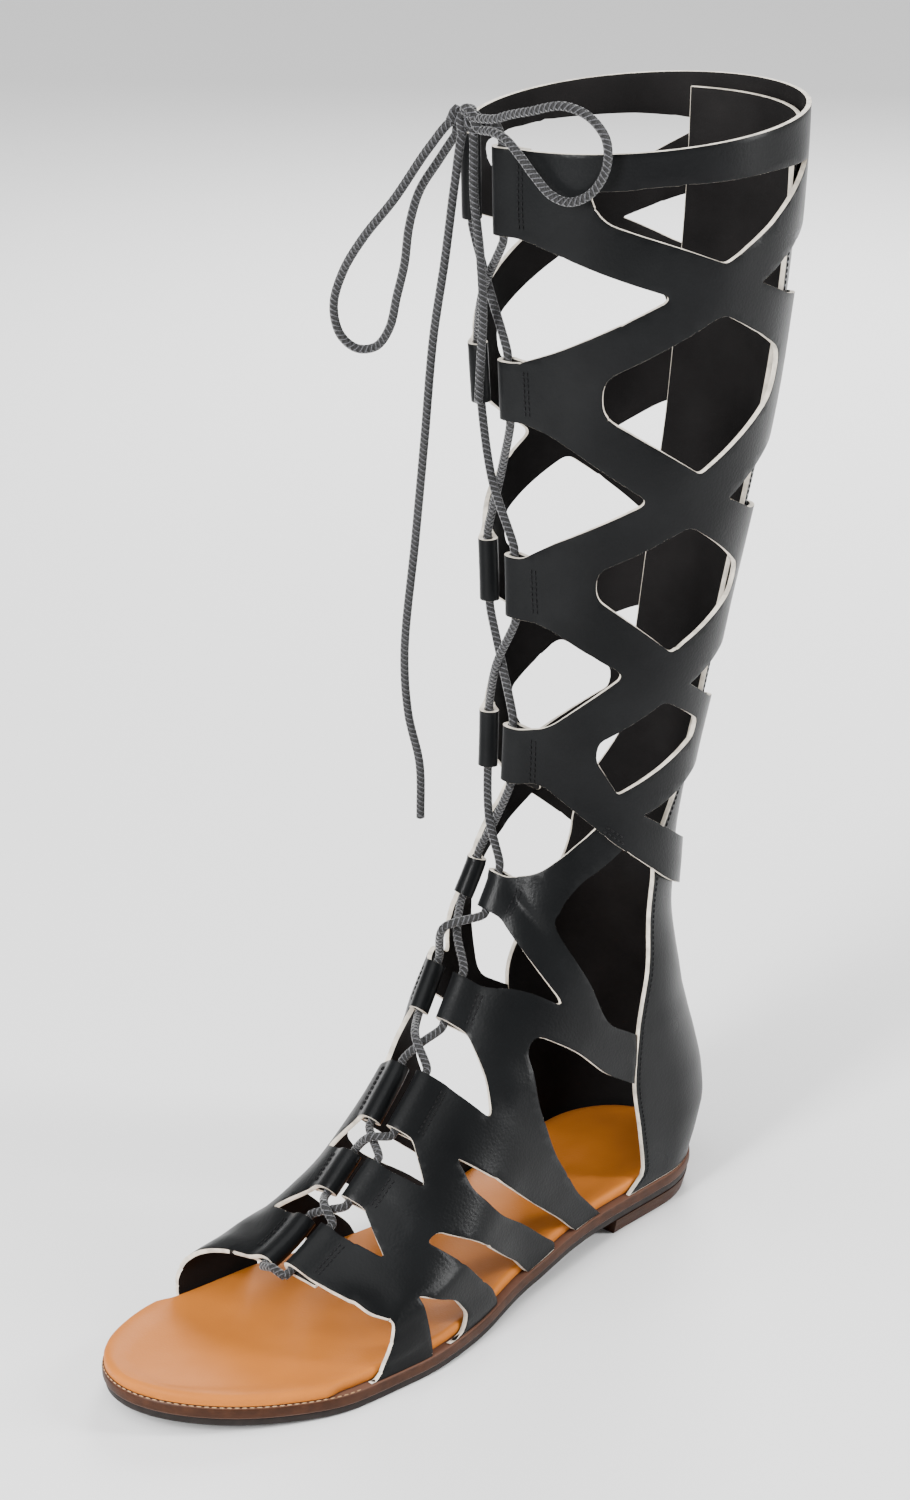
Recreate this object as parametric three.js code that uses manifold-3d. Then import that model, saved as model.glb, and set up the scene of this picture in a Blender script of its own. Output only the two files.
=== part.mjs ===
// Gladiator sandal, left shoe, knee-high lace-up. Millimetres, +X to the toe, +Y to the outer side, +Z up.
// The floor is z = 0 and the leg's axis stands over the origin.
import * as THREE from 'three';
import { mergeVertices } from 'three/addons/utils/BufferGeometryUtils.js';
import Module from 'manifold-3d';

const wasm = await Module();
wasm.setup();

// Sizes of the foot and leg
const SOLE_LENGTH = 284;      // outsole, heel end to toe end
const BALL_WIDTH = 96;        // outsole across the ball
const HEEL_WIDTH = 65;        // outsole across the heel
const HEEL_SHARE = 0.162;     // share of the sole that lies behind the leg's axis
const INSTEP_HEIGHT = 150;    // floor to the bend between instep and shin
const COLLAR_HEIGHT = 430;    // floor to the collar's front
const CALF_DEPTH = 119;       // front to back at the collar
const CALF_WIDTH = 112;       // side to side at the collar
const SHIN_TURN = 22;         // degrees that the lace line turns to the inner side up the shin
const CREST_SHIFT = 4;        // instep's crest towards the inner side

// Sizes of the sole
const HEEL_LIFT = 6.5;        // heel block
const HEEL_SEAT = 66;         // heel block, front to back
const OUTSOLE = 3.2;
const MIDSOLE = 4.3;
const FOOTBED = 4.4;
const TOE_SPRING = 6;
const OUTSOLE_INSET = 0.9;    // the bottom layer stands back from the midsole's edge
const HEEL_TAPER = 1.6;       // heel block's foot stands back from its top
const RIM = 1.0;              // midsole's edge outside the straps
const TOE_RIM = 0.8;          // midsole's edge outside the footbed at the toes
const EDGE_ROUND = 1.6;       // footbed's rounded upper edge

// Sizes of the leather and the lace
const WALL = 1.8;             // straps
const UNDERLAY = 0.9;         // foot straps lie this much deeper than the leg straps
const PANEL_WALL = 1.8;       // heel counter and back panel
const LACE = 3.2;             // round lace
const TUNNEL_WALL = 1.5;
const TUNNEL_WIDTH = 12;      // folded tab, edge to stitches
const TUNNEL_BORE = 4.3;
const GAP = 0.3;              // clearance between pieces that touch

// Smooth curve through rows, without overshoot
function curve(rows, column) {
  const xs = rows.map((row) => row[0]);
  const ys = rows.map((row) => row[column]);
  const last = xs.length - 1;
  const step = xs.slice(1).map((x, i) => x - xs[i]);
  const rise = step.map((h, i) => (ys[i + 1] - ys[i]) / h);
  const slope = ys.map((y, i) => {
    if (i === 0) return rise[0];
    if (i === last) return rise[last - 1];
    if (rise[i - 1] * rise[i] <= 0) return 0;
    const a = 2 * step[i] + step[i - 1];
    const b = step[i] + 2 * step[i - 1];
    return (a + b) / (a / rise[i - 1] + b / rise[i]);
  });
  return (x) => {
    const at = Math.min(Math.max(x, xs[0]), xs[last]);
    let i = 0;
    while (i < last - 1 && at > xs[i + 1]) i += 1;
    const h = step[i];
    const t = (at - xs[i]) / h;
    return (2 * t ** 3 - 3 * t ** 2 + 1) * ys[i] + (t ** 3 - 2 * t ** 2 + t) * h * slope[i]
      + (3 * t ** 2 - 2 * t ** 3) * ys[i + 1] + (t ** 3 - t ** 2) * h * slope[i + 1];
  };
}
const clamp = (v, low, high) => Math.min(Math.max(v, low), high);
const roundEnd = (share) => Math.sqrt(1 - (1 - clamp(share, 0, 1)) ** 2);

// Plan outline of the sole: share of length, middle and half width as shares of the ball width
const heelHalf = HEEL_WIDTH / 2 / BALL_WIDTH;
const OUTLINE = [
  // share, middle, half width
  [0.00, 0.000, heelHalf],
  [0.14, 0.005, heelHalf],
  [0.28, 0.028, 0.325],
  [0.42, 0.058, 0.342],
  [0.56, 0.052, 0.432],
  [0.68, 0.014, 0.498],
  [0.78, -0.022, 0.500],
  [0.90, -0.078, 0.468],
  [1.00, -0.114, 0.448],
];
const TOE_END = 0.218;        // rounded toe, share of the length
const HEEL_END = 0.127;       // rounded heel, share of the length
const soleMiddle = curve(OUTLINE, 1);
const soleHalf = curve(OUTLINE, 2);
const HEEL_X = -HEEL_SHARE * SOLE_LENGTH;
const TOE_X = HEEL_X + SOLE_LENGTH;
const shareOf = (x) => (x - HEEL_X) / SOLE_LENGTH;
function outline(x, inset) {
  const middle = soleMiddle(shareOf(x)) * BALL_WIDTH;
  const half = soleHalf(shareOf(x)) * BALL_WIDTH - inset;
  const front = roundEnd((TOE_X - inset - x) / (TOE_END * SOLE_LENGTH - inset));
  const back = roundEnd((x - HEEL_X - inset) / (HEEL_END * SOLE_LENGTH - inset));
  return { middle, half: half * front * back };
}

// Underside of the outsole: share of length, heel lift's share, toe spring's share
const UNDERSIDE = [
  [0.00, 1.00, 0.00],
  [0.25, 1.00, 0.00],
  [0.33, 0.92, 0.00],
  [0.45, 0.38, 0.00],
  [0.57, 0.00, 0.00],
  [0.75, 0.00, 0.00],
  [0.88, 0.00, 0.30],
  [1.00, 0.00, 1.00],
];
const liftShare = curve(UNDERSIDE, 1);
const springShare = curve(UNDERSIDE, 2);
const ground = (x) => liftShare(shareOf(x)) * HEEL_LIFT + springShare(shareOf(x)) * TOE_SPRING;
const SOLE_STACK = OUTSOLE + MIDSOLE;
const feather = (x) => ground(x) + SOLE_STACK;
const HEEL_TOP = HEEL_LIFT + SOLE_STACK;

// Heights are levels: 0 to 1 from the floor to the instep's bend, 1 to 2 from there to the collar
const height = (level) => (level < 1 ? level * INSTEP_HEIGHT
  : INSTEP_HEIGHT + (level - 1) * (COLLAR_HEIGHT - INSTEP_HEIGHT));
const levelOf = (z) => (z < INSTEP_HEIGHT ? z / INSTEP_HEIGHT
  : 1 + (z - INSTEP_HEIGHT) / (COLLAR_HEIGHT - INSTEP_HEIGHT));

// Side profile and sections of the foot: front and back as shares of the sole's length, half width of
// the leg as a share of the calf's width, crest as a share of its shift, how much of the sole's outline
// the section follows, and the rounded front and back as shares of the sole's length
const FOOT = [
  // level, front, back, half, crest, outline, front round, back round
  [0.000, 0.831, -0.150, 0.321, 0.00, 1.00, 0.197, 0.120],
  [0.093, 0.817, -0.153, 0.321, 0.00, 1.00, 0.204, 0.118],
  [0.160, 0.768, -0.170, 0.321, 0.00, 1.00, 0.211, 0.123],
  [0.200, 0.690, -0.179, 0.321, 0.00, 0.98, 0.218, 0.127],
  [0.240, 0.602, -0.185, 0.321, 0.75, 0.94, 0.218, 0.127],
  [0.320, 0.525, -0.181, 0.321, 0.75, 0.86, 0.225, 0.127],
  [0.413, 0.461, -0.169, 0.321, 1.00, 0.74, 0.232, 0.127],
  [0.520, 0.394, -0.151, 0.321, 1.00, 0.56, 0.225, 0.127],
  [0.627, 0.327, -0.134, 0.313, 1.00, 0.32, 0.211, 0.127],
  [0.733, 0.268, -0.121, 0.304, 0.75, 0.12, 0.183, 0.134],
  [0.867, 0.211, -0.114, 0.295, 0.25, 0.00, 0.162, 0.155],
];
// The same of the leg: depths as shares of the calf's depth
const LEG = [
  // level, front, back, half, crest, outline, front round, back round
  [1.000, 0.395, -0.282, 0.286, 0, 0, 0.336, 0.336],
  [1.100, 0.328, -0.336, 0.281, 0, 0, 0.328, 0.328],
  [1.232, 0.294, -0.412, 0.326, 0, 0, 0.353, 0.353],
  [1.393, 0.269, -0.504, 0.379, 0, 0, 0.387, 0.387],
  [1.554, 0.261, -0.597, 0.438, 0, 0, 0.429, 0.429],
  [1.714, 0.269, -0.672, 0.482, 0, 0, 0.471, 0.471],
  [1.893, 0.277, -0.723, 0.500, 0, 0, 0.500, 0.500],
  [2.036, 0.277, -0.739, 0.500, 0, 0, 0.508, 0.508],
];
const sized = (row, depth) => [row[0], row[1] * depth, row[2] * depth, row[3] * CALF_WIDTH,
  -row[4] * CREST_SHIFT, row[5], row[6] * depth, row[7] * depth];
const PROFILE = [
  ...FOOT.map((row) => sized(row, SOLE_LENGTH)),
  ...LEG.map((row) => sized(row, CALF_DEPTH)),
];
const [, frontOf, backOf, halfOf, crestOf, outlineOf, frontRoundOf, backRoundOf] =
  PROFILE[0].map((value, column) => (column ? curve(PROFILE, column) : null));

// Half width and middle of the last at a place in the side profile
function section(x, z) {
  const level = levelOf(z);
  const share = outlineOf(level);
  const plan = {
    middle: soleMiddle(shareOf(x)) * BALL_WIDTH,
    half: soleHalf(shareOf(x)) * BALL_WIDTH - RIM - WALL,
  };
  const front = roundEnd((frontOf(level) - x) / frontRoundOf(level));
  const back = roundEnd((x - backOf(level)) / backRoundOf(level));
  return {
    middle: share * plan.middle + (1 - share) * crestOf(level),
    half: (share * plan.half + (1 - share) * halfOf(level)) * front * back,
  };
}

// Turn of the lace line about the leg's middle: level, share of the turn
const TURN = [
  [0.00, 0.00],
  [0.57, 0.00],
  [0.73, 0.27],
  [0.93, 0.68],
  [1.07, 0.77],
  [1.39, 0.91],
  [1.57, 1.00],
  [2.10, 1.00],
];
const turnShare = curve(TURN, 1);
function turned(x, y, z) {
  const level = levelOf(z);
  const angle = -THREE.MathUtils.degToRad(SHIN_TURN) * turnShare(level);
  const middle = (frontOf(level) + backOf(level)) / 2;
  const dx = x - middle;
  return new THREE.Vector3(
    middle + dx * Math.cos(angle) - y * Math.sin(angle),
    dx * Math.sin(angle) + y * Math.cos(angle),
    z,
  );
}

// Rings from the lace line round to the back or the sole: share along the upper, level in front,
// level at the back, and how far the ring's foot runs forward on the sole, as a share of its length
const RINGS = [
  // share, front level, back level, run on the sole
  [0.00, 2.000, 2.025, 0.000],
  [0.12, 1.793, 1.807, 0.000],
  [0.24, 1.589, 1.582, 0.000],
  [0.36, 1.386, 1.350, 0.000],
  [0.47, 1.196, 1.125, 0.000],
  [0.55, 1.071, 0.880, 0.000],
  [0.62, 0.960, 0.533, 0.000],
  [0.68, 0.827, 0.213, 0.000],
  [0.74, 0.693, 0.093, 0.085],
  [0.80, 0.573, 0.093, 0.268],
  [0.87, 0.440, 0.093, 0.454],
  [0.94, 0.320, 0.093, 0.613],
  [1.00, 0.220, 0.093, 0.746],
  [1.04, 0.180, 0.093, 0.830],
];
const ringFront = curve(RINGS, 1);
// the back line and the sole's feather line are one run: its length down from the collar
const RUN = RINGS.map((row) => [row[0], row[3] > 0 ? -row[3] * SOLE_LENGTH
  : Math.max(height(row[2]) - HEEL_TOP, 0)]);
const ringRun = curve(RUN, 1);

// The last's surface: s runs from the collar to the toe strap, t from the lace line (0) to the back or
// the sole (1); past 1 it goes on round the back, or straight down from the sole's edge
function profilePlace(s, t) {
  const run = ringRun(s);
  const front = { x: frontOf(ringFront(s)), z: height(ringFront(s)) };
  const backX = run > 0 ? backOf(levelOf(HEEL_TOP + run)) : backOf(levelOf(HEEL_TOP)) - run;
  const back = { x: backX, z: run > 0 ? HEEL_TOP + run : feather(backX) };
  const g = (1 - Math.cos(Math.PI * clamp(t, 0, 1))) / 2;
  return { x: front.x + (back.x - front.x) * g, z: front.z + (back.z - front.z) * g };
}
function lastPoint(s, t, side) {
  if (t > 1) return lastPoint(s, 2 - t, -side);
  const { x, z } = profilePlace(s, t);
  const { middle, half } = section(x, z);
  return turned(x, middle + side * half, z);
}
function outward(s, t, side) {
  if (t > 1) return outward(s, 2 - t, -side);
  const e = 0.004;
  const at = clamp(t, 0.02, ringRun(s) > 0 ? 0.98 : 0.96);
  const along = lastPoint(s + e, at, side).sub(lastPoint(s - e, at, side));
  const around = lastPoint(s, at + e, side).sub(lastPoint(s, at - e, side));
  return along.cross(around).multiplyScalar(side).normalize();
}
const skin = (s, t, side, depth) => lastPoint(s, t, side).addScaledVector(outward(s, t, side), depth);

// The same surface by height: a level ring from the front line (0) to the back (1)
function levelPoint(z, t, side) {
  const level = levelOf(z);
  const g = (1 - Math.cos(Math.PI * clamp(t, 0, 1))) / 2;
  const x = frontOf(level) + (backOf(level) - frontOf(level)) * g;
  const { middle, half } = section(x, z);
  return turned(x, middle + side * half, z);
}
function levelSkin(z, t, side, depth) {
  const at = clamp(t, 0.02, 0.98);
  const up = levelPoint(z + 1, at, side).sub(levelPoint(z - 1, at, side));
  const around = levelPoint(z, at + 0.01, side).sub(levelPoint(z, at - 0.01, side));
  const normal = around.cross(up).multiplyScalar(side).normalize();
  if (t > 0.999) normal.addScaledVector(outwardAcross(z), -normal.dot(outwardAcross(z))).normalize();
  return levelPoint(z, t, side).addScaledVector(normal, depth);
}
// sideways direction of the leg at a height, in which the middle of the back doesn't lean
function outwardAcross(z) {
  return turned(0, 1, z).sub(turned(0, 0, z)).normalize();
}

const SIDES = [1, -1];         // outer and inner side of the shoe

// Closed mesh from vertices and triangles
function geometryOf(points, triangles) {
  const geometry = new THREE.BufferGeometry();
  geometry.setAttribute('position', new THREE.Float32BufferAttribute(points.flatMap((p) => [p.x, p.y, p.z]), 3));
  geometry.setIndex(triangles.flat());
  return geometry;
}
function solid(geometry) {
  const bare = geometry.clone();
  bare.deleteAttribute('normal');
  bare.deleteAttribute('uv');
  const merged = mergeVertices(bare, 1e-5);
  return new wasm.Manifold(new wasm.Mesh({
    numProp: 3,
    vertProperties: new Float32Array(merged.attributes.position.array),
    triVerts: new Uint32Array(merged.index.array),
  }));
}
function fromSolid(body) {
  const mesh = body.getMesh();
  const geometry = new THREE.BufferGeometry();
  geometry.setAttribute('position', new THREE.BufferAttribute(new Float32Array(mesh.vertProperties), 3));
  geometry.setIndex(new THREE.BufferAttribute(new Uint32Array(mesh.triVerts), 1));
  return geometry;
}
const joined = (bodies) => bodies.reduce((sum, body) => sum.add(body));

// A skin between two grids of points, closed along its four sides
function plate(outer, inner) {
  const rows = outer.length;
  const columns = outer[0].length;
  const points = [...outer.flat(), ...inner.flat()];
  const front = (i, j) => i * columns + j;
  const rear = (i, j) => rows * columns + front(i, j);
  const triangles = [];
  const quad = (a, b, c, d) => triangles.push([a, b, c], [a, c, d]);
  for (let i = 0; i + 1 < rows; i += 1) {
    for (let j = 0; j + 1 < columns; j += 1) {
      quad(front(i, j), front(i + 1, j), front(i + 1, j + 1), front(i, j + 1));
      quad(rear(i, j), rear(i, j + 1), rear(i + 1, j + 1), rear(i + 1, j));
    }
    quad(front(i, 0), rear(i, 0), rear(i + 1, 0), front(i + 1, 0));
    quad(front(i, columns - 1), front(i + 1, columns - 1), rear(i + 1, columns - 1), rear(i, columns - 1));
  }
  for (let j = 0; j + 1 < columns; j += 1) {
    quad(front(0, j), front(0, j + 1), rear(0, j + 1), rear(0, j));
    quad(front(rows - 1, j), rear(rows - 1, j), rear(rows - 1, j + 1), front(rows - 1, j + 1));
  }
  return geometryOf(points, triangles);
}

// A loft through closed loops of as many points each, with flat or fanned ends
function loft(loops) {
  const count = loops[0].length;
  const points = loops.flat();
  const triangles = [];
  for (let i = 0; i + 1 < loops.length; i += 1) {
    for (let j = 0; j < count; j += 1) {
      const a = i * count + j;
      const b = i * count + ((j + 1) % count);
      triangles.push([a, b, b + count], [a, b + count, a + count]);
    }
  }
  const ends = [[loops[0], 0, true], [loops[loops.length - 1], (loops.length - 1) * count, false]];
  for (const [loop, first, turnedOver] of ends) {
    const middle = loop.reduce((sum, p) => sum.add(p), new THREE.Vector3()).divideScalar(count);
    points.push(middle);
    for (let j = 0; j < count; j += 1) {
      const a = first + j;
      const b = first + ((j + 1) % count);
      triangles.push(turnedOver ? [points.length - 1, b, a] : [points.length - 1, a, b]);
    }
  }
  return geometryOf(points, triangles);
}
// The same body with its faces pointing out
function facingOut(geometry) {
  const position = geometry.attributes.position;
  const index = geometry.index.array;
  const a = new THREE.Vector3();
  const b = new THREE.Vector3();
  const c = new THREE.Vector3();
  let volume = 0;
  for (let i = 0; i < index.length; i += 3) {
    a.fromBufferAttribute(position, index[i]);
    b.fromBufferAttribute(position, index[i + 1]);
    c.fromBufferAttribute(position, index[i + 2]);
    volume += a.dot(b.cross(c)) / 6;
  }
  if (volume < 0) {
    for (let i = 0; i < index.length; i += 3) {
      [index[i + 1], index[i + 2]] = [index[i + 2], index[i + 1]];
    }
  }
  return geometry;
}

// The upper is cut flat, as leather is, and then laid on the last. In the flat pattern x runs along the
// upper and y round it, in millimetres; y is 0 at the middle of the back or, on the foot, at the sole.
const PATTERN_LENGTH = lastPoint(0, 0, 1).distanceTo(lastPoint(0.5, 0, 1)) * 2;
const PATTERN_ROUND = (Math.PI * CALF_WIDTH) / 2;
const flat = (s, t, side) => new THREE.Vector2(s * PATTERN_LENGTH, side * (1 - t) * PATTERN_ROUND);
const EDGE_STEP = 27;
const INNER_STEP = 26;
const INNER_CLEAR = 6;

// Corners of a row are s, t and a rounding in millimetres of the surface
function rounded(corners, side, closed = true) {
  const points = corners.map(([s, t]) => flat(s, t, side));
  return corners.flatMap(([, , r], i) => {
    const p = points[i];
    if (!r || (!closed && (i === 0 || i === points.length - 1))) return [p];
    const before = points[(i + points.length - 1) % points.length].clone().sub(p);
    const after = points[(i + 1) % points.length].clone().sub(p);
    const reach = Math.min(r, before.length() * 0.46, after.length() * 0.46);
    const start = p.clone().addScaledVector(before.normalize(), reach);
    const end = p.clone().addScaledVector(after.normalize(), reach);
    const bends = reach > 8 ? 3 : 2;
    return Array.from({ length: bends + 1 }, (_, k) => {
      const v = k / bends;
      return start.clone().multiplyScalar((1 - v) ** 2)
        .addScaledVector(p, 2 * v * (1 - v)).addScaledVector(end, v * v);
    });
  });
}

// Triangles of an outline with holes: long edges and wide fields get points between, and the diagonals
// are turned until each field is as even as it can be
function triangulated(contour, holes) {
  const points = [...contour, ...holes.flat()];
  let faces = THREE.ShapeUtils.triangulateShape([...contour], holes.map((hole) => [...hole]));
  const area = (a, b, c) => (points[b].x - points[a].x) * (points[c].y - points[a].y)
    - (points[c].x - points[a].x) * (points[b].y - points[a].y);
  const wound = faces.reduce((sum, [a, b, c]) => sum + area(a, b, c), 0);
  if (wound < 0) faces = faces.map(([a, b, c]) => [a, c, b]);
  const edgeMap = () => {
    const map = new Map();
    faces.forEach((face, f) => face.forEach((a, k) => map.set(`${a},${face[(k + 1) % 3]}`, f)));
    return map;
  };
  const rim = () => {
    const map = edgeMap();
    return [...map.keys()].map((key) => key.split(',').map(Number)).filter(([a, b]) => !map.has(`${b},${a}`));
  };
  const turnDiagonals = () => {
    for (let pass = 0; pass < 40; pass += 1) {
      const map = edgeMap();
      const touched = new Set();
      const made = new Set();
      for (const [key, f] of map) {
        const [a, b] = key.split(',').map(Number);
        const g = map.get(`${b},${a}`);
        if (a > b || g === undefined || touched.has(f) || touched.has(g)) continue;
        const c = faces[f].find((p) => p !== a && p !== b);
        const d = faces[g].find((p) => p !== a && p !== b);
        const diagonal = `${Math.min(c, d)},${Math.max(c, d)}`;
        if (map.has(`${c},${d}`) || map.has(`${d},${c}`) || made.has(diagonal)) continue;
        const angle = (p) => points[a].clone().sub(points[p]).angleTo(points[b].clone().sub(points[p]));
        if (angle(c) + angle(d) > Math.PI + 1e-6 && area(a, d, c) > 1e-6 && area(d, b, c) > 1e-6) {
          faces[f] = [a, d, c];
          faces[g] = [d, b, c];
          touched.add(f).add(g);
          made.add(diagonal);
        }
      }
      if (!made.size) break;
    }
  };
  // long rim edges
  for (const [a, b] of rim()) {
    const steps = Math.round(points[a].distanceTo(points[b]) / EDGE_STEP);
    const f = faces.findIndex((face) => face.some((p, k) => p === a && face[(k + 1) % 3] === b));
    const c = faces[f].find((p) => p !== a && p !== b);
    let from = a;
    let at = f;
    for (let k = 1; k < steps; k += 1) {
      points.push(points[a].clone().lerp(points[b], k / steps));
      const m = points.length - 1;
      faces[at] = [from, m, c];
      faces.push([m, b, c]);
      at = faces.length - 1;
      from = m;
    }
  }
  turnDiagonals();
  // wide fields
  const borders = rim();
  const toBorder = (p) => Math.min(...borders.map(([a, b]) => {
    const ab = points[b].clone().sub(points[a]);
    const k = clamp(p.clone().sub(points[a]).dot(ab) / ab.lengthSq(), 0, 1);
    return p.distanceTo(points[a].clone().addScaledVector(ab, k));
  }));
  const box = new THREE.Box2().setFromPoints(points);
  const rows = Math.round((box.max.x - box.min.x) / (INNER_STEP * 0.87));
  const columns = Math.round((box.max.y - box.min.y) / INNER_STEP);
  for (let i = 1; i < rows; i += 1) {
    for (let j = 0; j <= columns; j += 1) {
      const p = new THREE.Vector2(
        box.min.x + ((box.max.x - box.min.x) * i) / rows,
        box.min.y + ((box.max.y - box.min.y) * (j + (i % 2) * 0.5)) / columns,
      );
      const f = faces.findIndex(([a, b, c]) => {
        points.push(p);
        const m = points.length - 1;
        const inside = area(a, b, m) > 1e-6 && area(b, c, m) > 1e-6 && area(c, a, m) > 1e-6;
        points.pop();
        return inside;
      });
      if (f < 0 || toBorder(p) < INNER_CLEAR) continue;
      points.push(p);
      const m = points.length - 1;
      const [a, b, c] = faces[f];
      faces[f] = [a, b, m];
      faces.push([b, c, m], [c, a, m]);
    }
  }
  turnDiagonals();
  return { points, faces, rim: rim() };
}

// The flat piece laid on the last as a wall between two depths
function laid({ points, faces, rim }, side, low, high) {
  const at = (p, depth) => {
    const s = p.x / PATTERN_LENGTH;
    const round = p.y / PATTERN_ROUND;
    const which = side || (round >= 0 ? 1 : -1);
    const t = 1 - round * which;
    const point = skin(s, t, which, depth);
    if (ringRun(s) <= 0 && t > 0.999) point.z = feather(point.x) + GAP;
    return point;
  };
  const count = points.length;
  const vertices = [...points.map((p) => at(p, high)), ...points.map((p) => at(p, low))];
  const triangles = [];
  for (const [a, b, c] of faces) triangles.push([a, b, c], [a + count, c + count, b + count]);
  for (const [a, b] of rim) triangles.push([a, a + count, b], [b, a + count, b + count]);
  return solid(facingOut(geometryOf(vertices, triangles)));
}

// Edge of the lace throat: share along the upper, share round it
const THROAT = [
  [0.00, 0.060],
  [0.50, 0.060],
  [0.62, 0.045],
  [0.76, 0.032],
  [1.04, 0.030],
];
const throatEdge = curve(THROAT, 1);

// Folded lace tabs: top and bottom, shares along the upper
const TABS = [
  [0.010, 0.075],
  [0.171, 0.217],
  [0.326, 0.374],
  [0.461, 0.508],
  [0.589, 0.633],
  [0.697, 0.738],
  [0.786, 0.838],
  [0.871, 0.912],
  [0.942, 0.981],
];

const LEG_END = 0.56;          // share where the leg straps end and the foot's begin
const LEG_TABS = TABS.filter(([, lower]) => lower < LEG_END).length;

// Notches between the tabs: shares of the upper shoulder, the point and the lower shoulder
const NOTCHES = [
  // upper s, t, point s, t, lower s, t
  [0.083, 0.200, 0.117, 0.430, 0.158, 0.200],
  [0.224, 0.200, 0.270, 0.415, 0.308, 0.200],
  [0.377, 0.200, 0.404, 0.405, 0.455, 0.200],
  [0.500, 0.200, 0.524, 0.384, 0.577, 0.200],
  [0.655, 0.195, 0.681, 0.286, 0.682, 0.195],
  [0.765, 0.190, 0.793, 0.264, 0.788, 0.140],
  [0.856, 0.180, 0.869, 0.228, 0.872, 0.090],
  [0.927, 0.190, 0.938, 0.276, 0.943, 0.095],
];
const NOTCH_ROUND = [3, 9, 3];
// Corners of the lace side from one tab's lower end to the next tab's upper end
const tabEnd = (s) => [s, throatEdge(s), 0];
function notchUpper(index) {
  const [us, ut, ps, pt] = NOTCHES[index];
  return [
    tabEnd(TABS[index][1]), [TABS[index][1], 0.11, NOTCH_ROUND[0]], [us, ut, NOTCH_ROUND[1]],
    [ps, pt, NOTCH_ROUND[2]],
  ];
}
function notchLower(index) {
  const [, , , , ls, lt] = NOTCHES[index];
  const next = TABS[index + 1][0];
  return [[ls, lt, NOTCH_ROUND[1]], [next, Math.min(0.11, lt * 0.8), NOTCH_ROUND[0]], tabEnd(next)];
}

// Diamonds between the crossings of the leg straps
const DIAMONDS = [
  // top s, t, front upper s, front lower s, front t, bottom s, t, rear upper s, rear lower s, rear t
  [0.134, 0.532, 0.176, 0.204, 0.298, 0.252, 0.525, 0.176, 0.206, 0.732],
  [0.291, 0.520, 0.326, 0.347, 0.308, 0.387, 0.525, 0.332, 0.350, 0.742],
  [0.423, 0.532, 0.457, 0.471, 0.356, 0.495, 0.440, 0.440, 0.452, 0.696],
];
const diamond = ([ts, tt, fu, fl, ft, bs, bt, ru, rl, rt], side) => rounded([
  [ts, tt, 4], [fu, ft, 6], [fl, ft, 6], [bs, bt, 2], [rl, rt, 7], [ru, rt, 7],
], side);

// Back windows between the crossings, from their point to the middle of the back
const BACK_WINDOWS = [
  // point s, t, upper s at the panel's edge and the back, lower s at the panel's edge and the back
  [0.118, 0.622, 0.102, 0.080, 0.137, 0.155],
  [0.275, 0.622, 0.252, 0.228, 0.291, 0.303],
  [0.412, 0.615, 0.396, 0.378, 0.426, 0.437],
  [0.507, 0.538, 0.480, 0.464, 0.519, 0.528],
];
// these run across the middle of the back, where t is 1, so their inner side's corners have t over 1
const backWindow = ([ps, pt, us, ub, ls, lb]) => rounded([
  [ps, pt, 1], [ls, 0.74, 6], [lb, 0.96, 8], [lb, 1.04, 8], [ls, 1.26, 6],
  [ps, 2 - pt, 1], [us, 1.26, 6], [ub, 1.04, 8], [ub, 0.96, 8], [us, 0.74, 6],
], 1);

// Collar window under the top band
const COLLAR_WINDOW = [
  // s, t, rounding
  [0.037, 0.264, 5], [0.036, 0.440, 0], [0.040, 0.640, 0], [0.046, 0.800, 2],
  [0.081, 0.625, 0], [0.098, 0.532, 2], [0.080, 0.430, 9], [0.059, 0.290, 7],
];
// Front edge of the heel counter, from under the leg straps down to the sole
const COUNTER_EDGE = [
  // s, t
  [0.549, 0.615],
  [0.617, 0.530],
  [0.676, 0.483],
  [0.704, 0.520],
  [0.737, 0.652],
  [0.758, 0.806],
  [0.778, 1.000],
];
const [, , STRAP_END_UPPER, STRAP_END_LOWER] = COUNTER_EDGE;

// Foot straps' edges in order round the piece, from the toe strap's foot back to the crossing
const FOOT_EDGES = [
  // s, t, rounding: gap behind the toe strap
  [0.957, 1.000, 0], [0.952, 0.682, 9], [0.945, 0.420, 3], [0.920, 0.585, 7], [0.917, 0.720, 5],
  [0.928, 0.900, 3], [0.941, 1.000, 0],
  // gap behind the second strap
  [0.892, 1.000, 0], [0.888, 0.729, 9], [0.896, 0.512, 9], [0.905, 0.330, 3], [0.892, 0.335, 3],
  [0.874, 0.478, 9], [0.860, 0.746, 6], [0.858, 1.000, 0],
  // gap behind the third strap
  [0.836, 1.000, 0], [0.832, 0.849, 6], [0.838, 0.629, 9], [0.848, 0.475, 9], [0.847, 0.340, 5],
  [0.833, 0.250, 2], [0.826, 0.482, 9], [0.818, 0.742, 6], [0.816, 1.000, 0],
  // arch window, up to the ankle strap's lower edge
  [0.797, 1.000, 0], [0.797, 0.850, 6], [0.796, 0.682, 9], [0.786, 0.495, 9], [0.762, 0.330, 9],
  [0.731, 0.238, 4], [0.713, 0.240, 5], [0.709, 0.338, 9], [0.711, 0.441, 4], [...STRAP_END_LOWER, 0],
  // ankle strap's end at the counter, ankle window, and the end under the leg straps
  [...STRAP_END_UPPER, 0], [0.680, 0.392, 5], [0.655, 0.340, 9], [0.628, 0.278, 8], [0.611, 0.250, 6],
  [0.591, 0.278, 8], [0.567, 0.341, 9], [0.537, 0.458, 0], [0.527, 0.497, 0], [0.505, 0.490, 3],
  [0.503, 0.410, 3],
];
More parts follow.
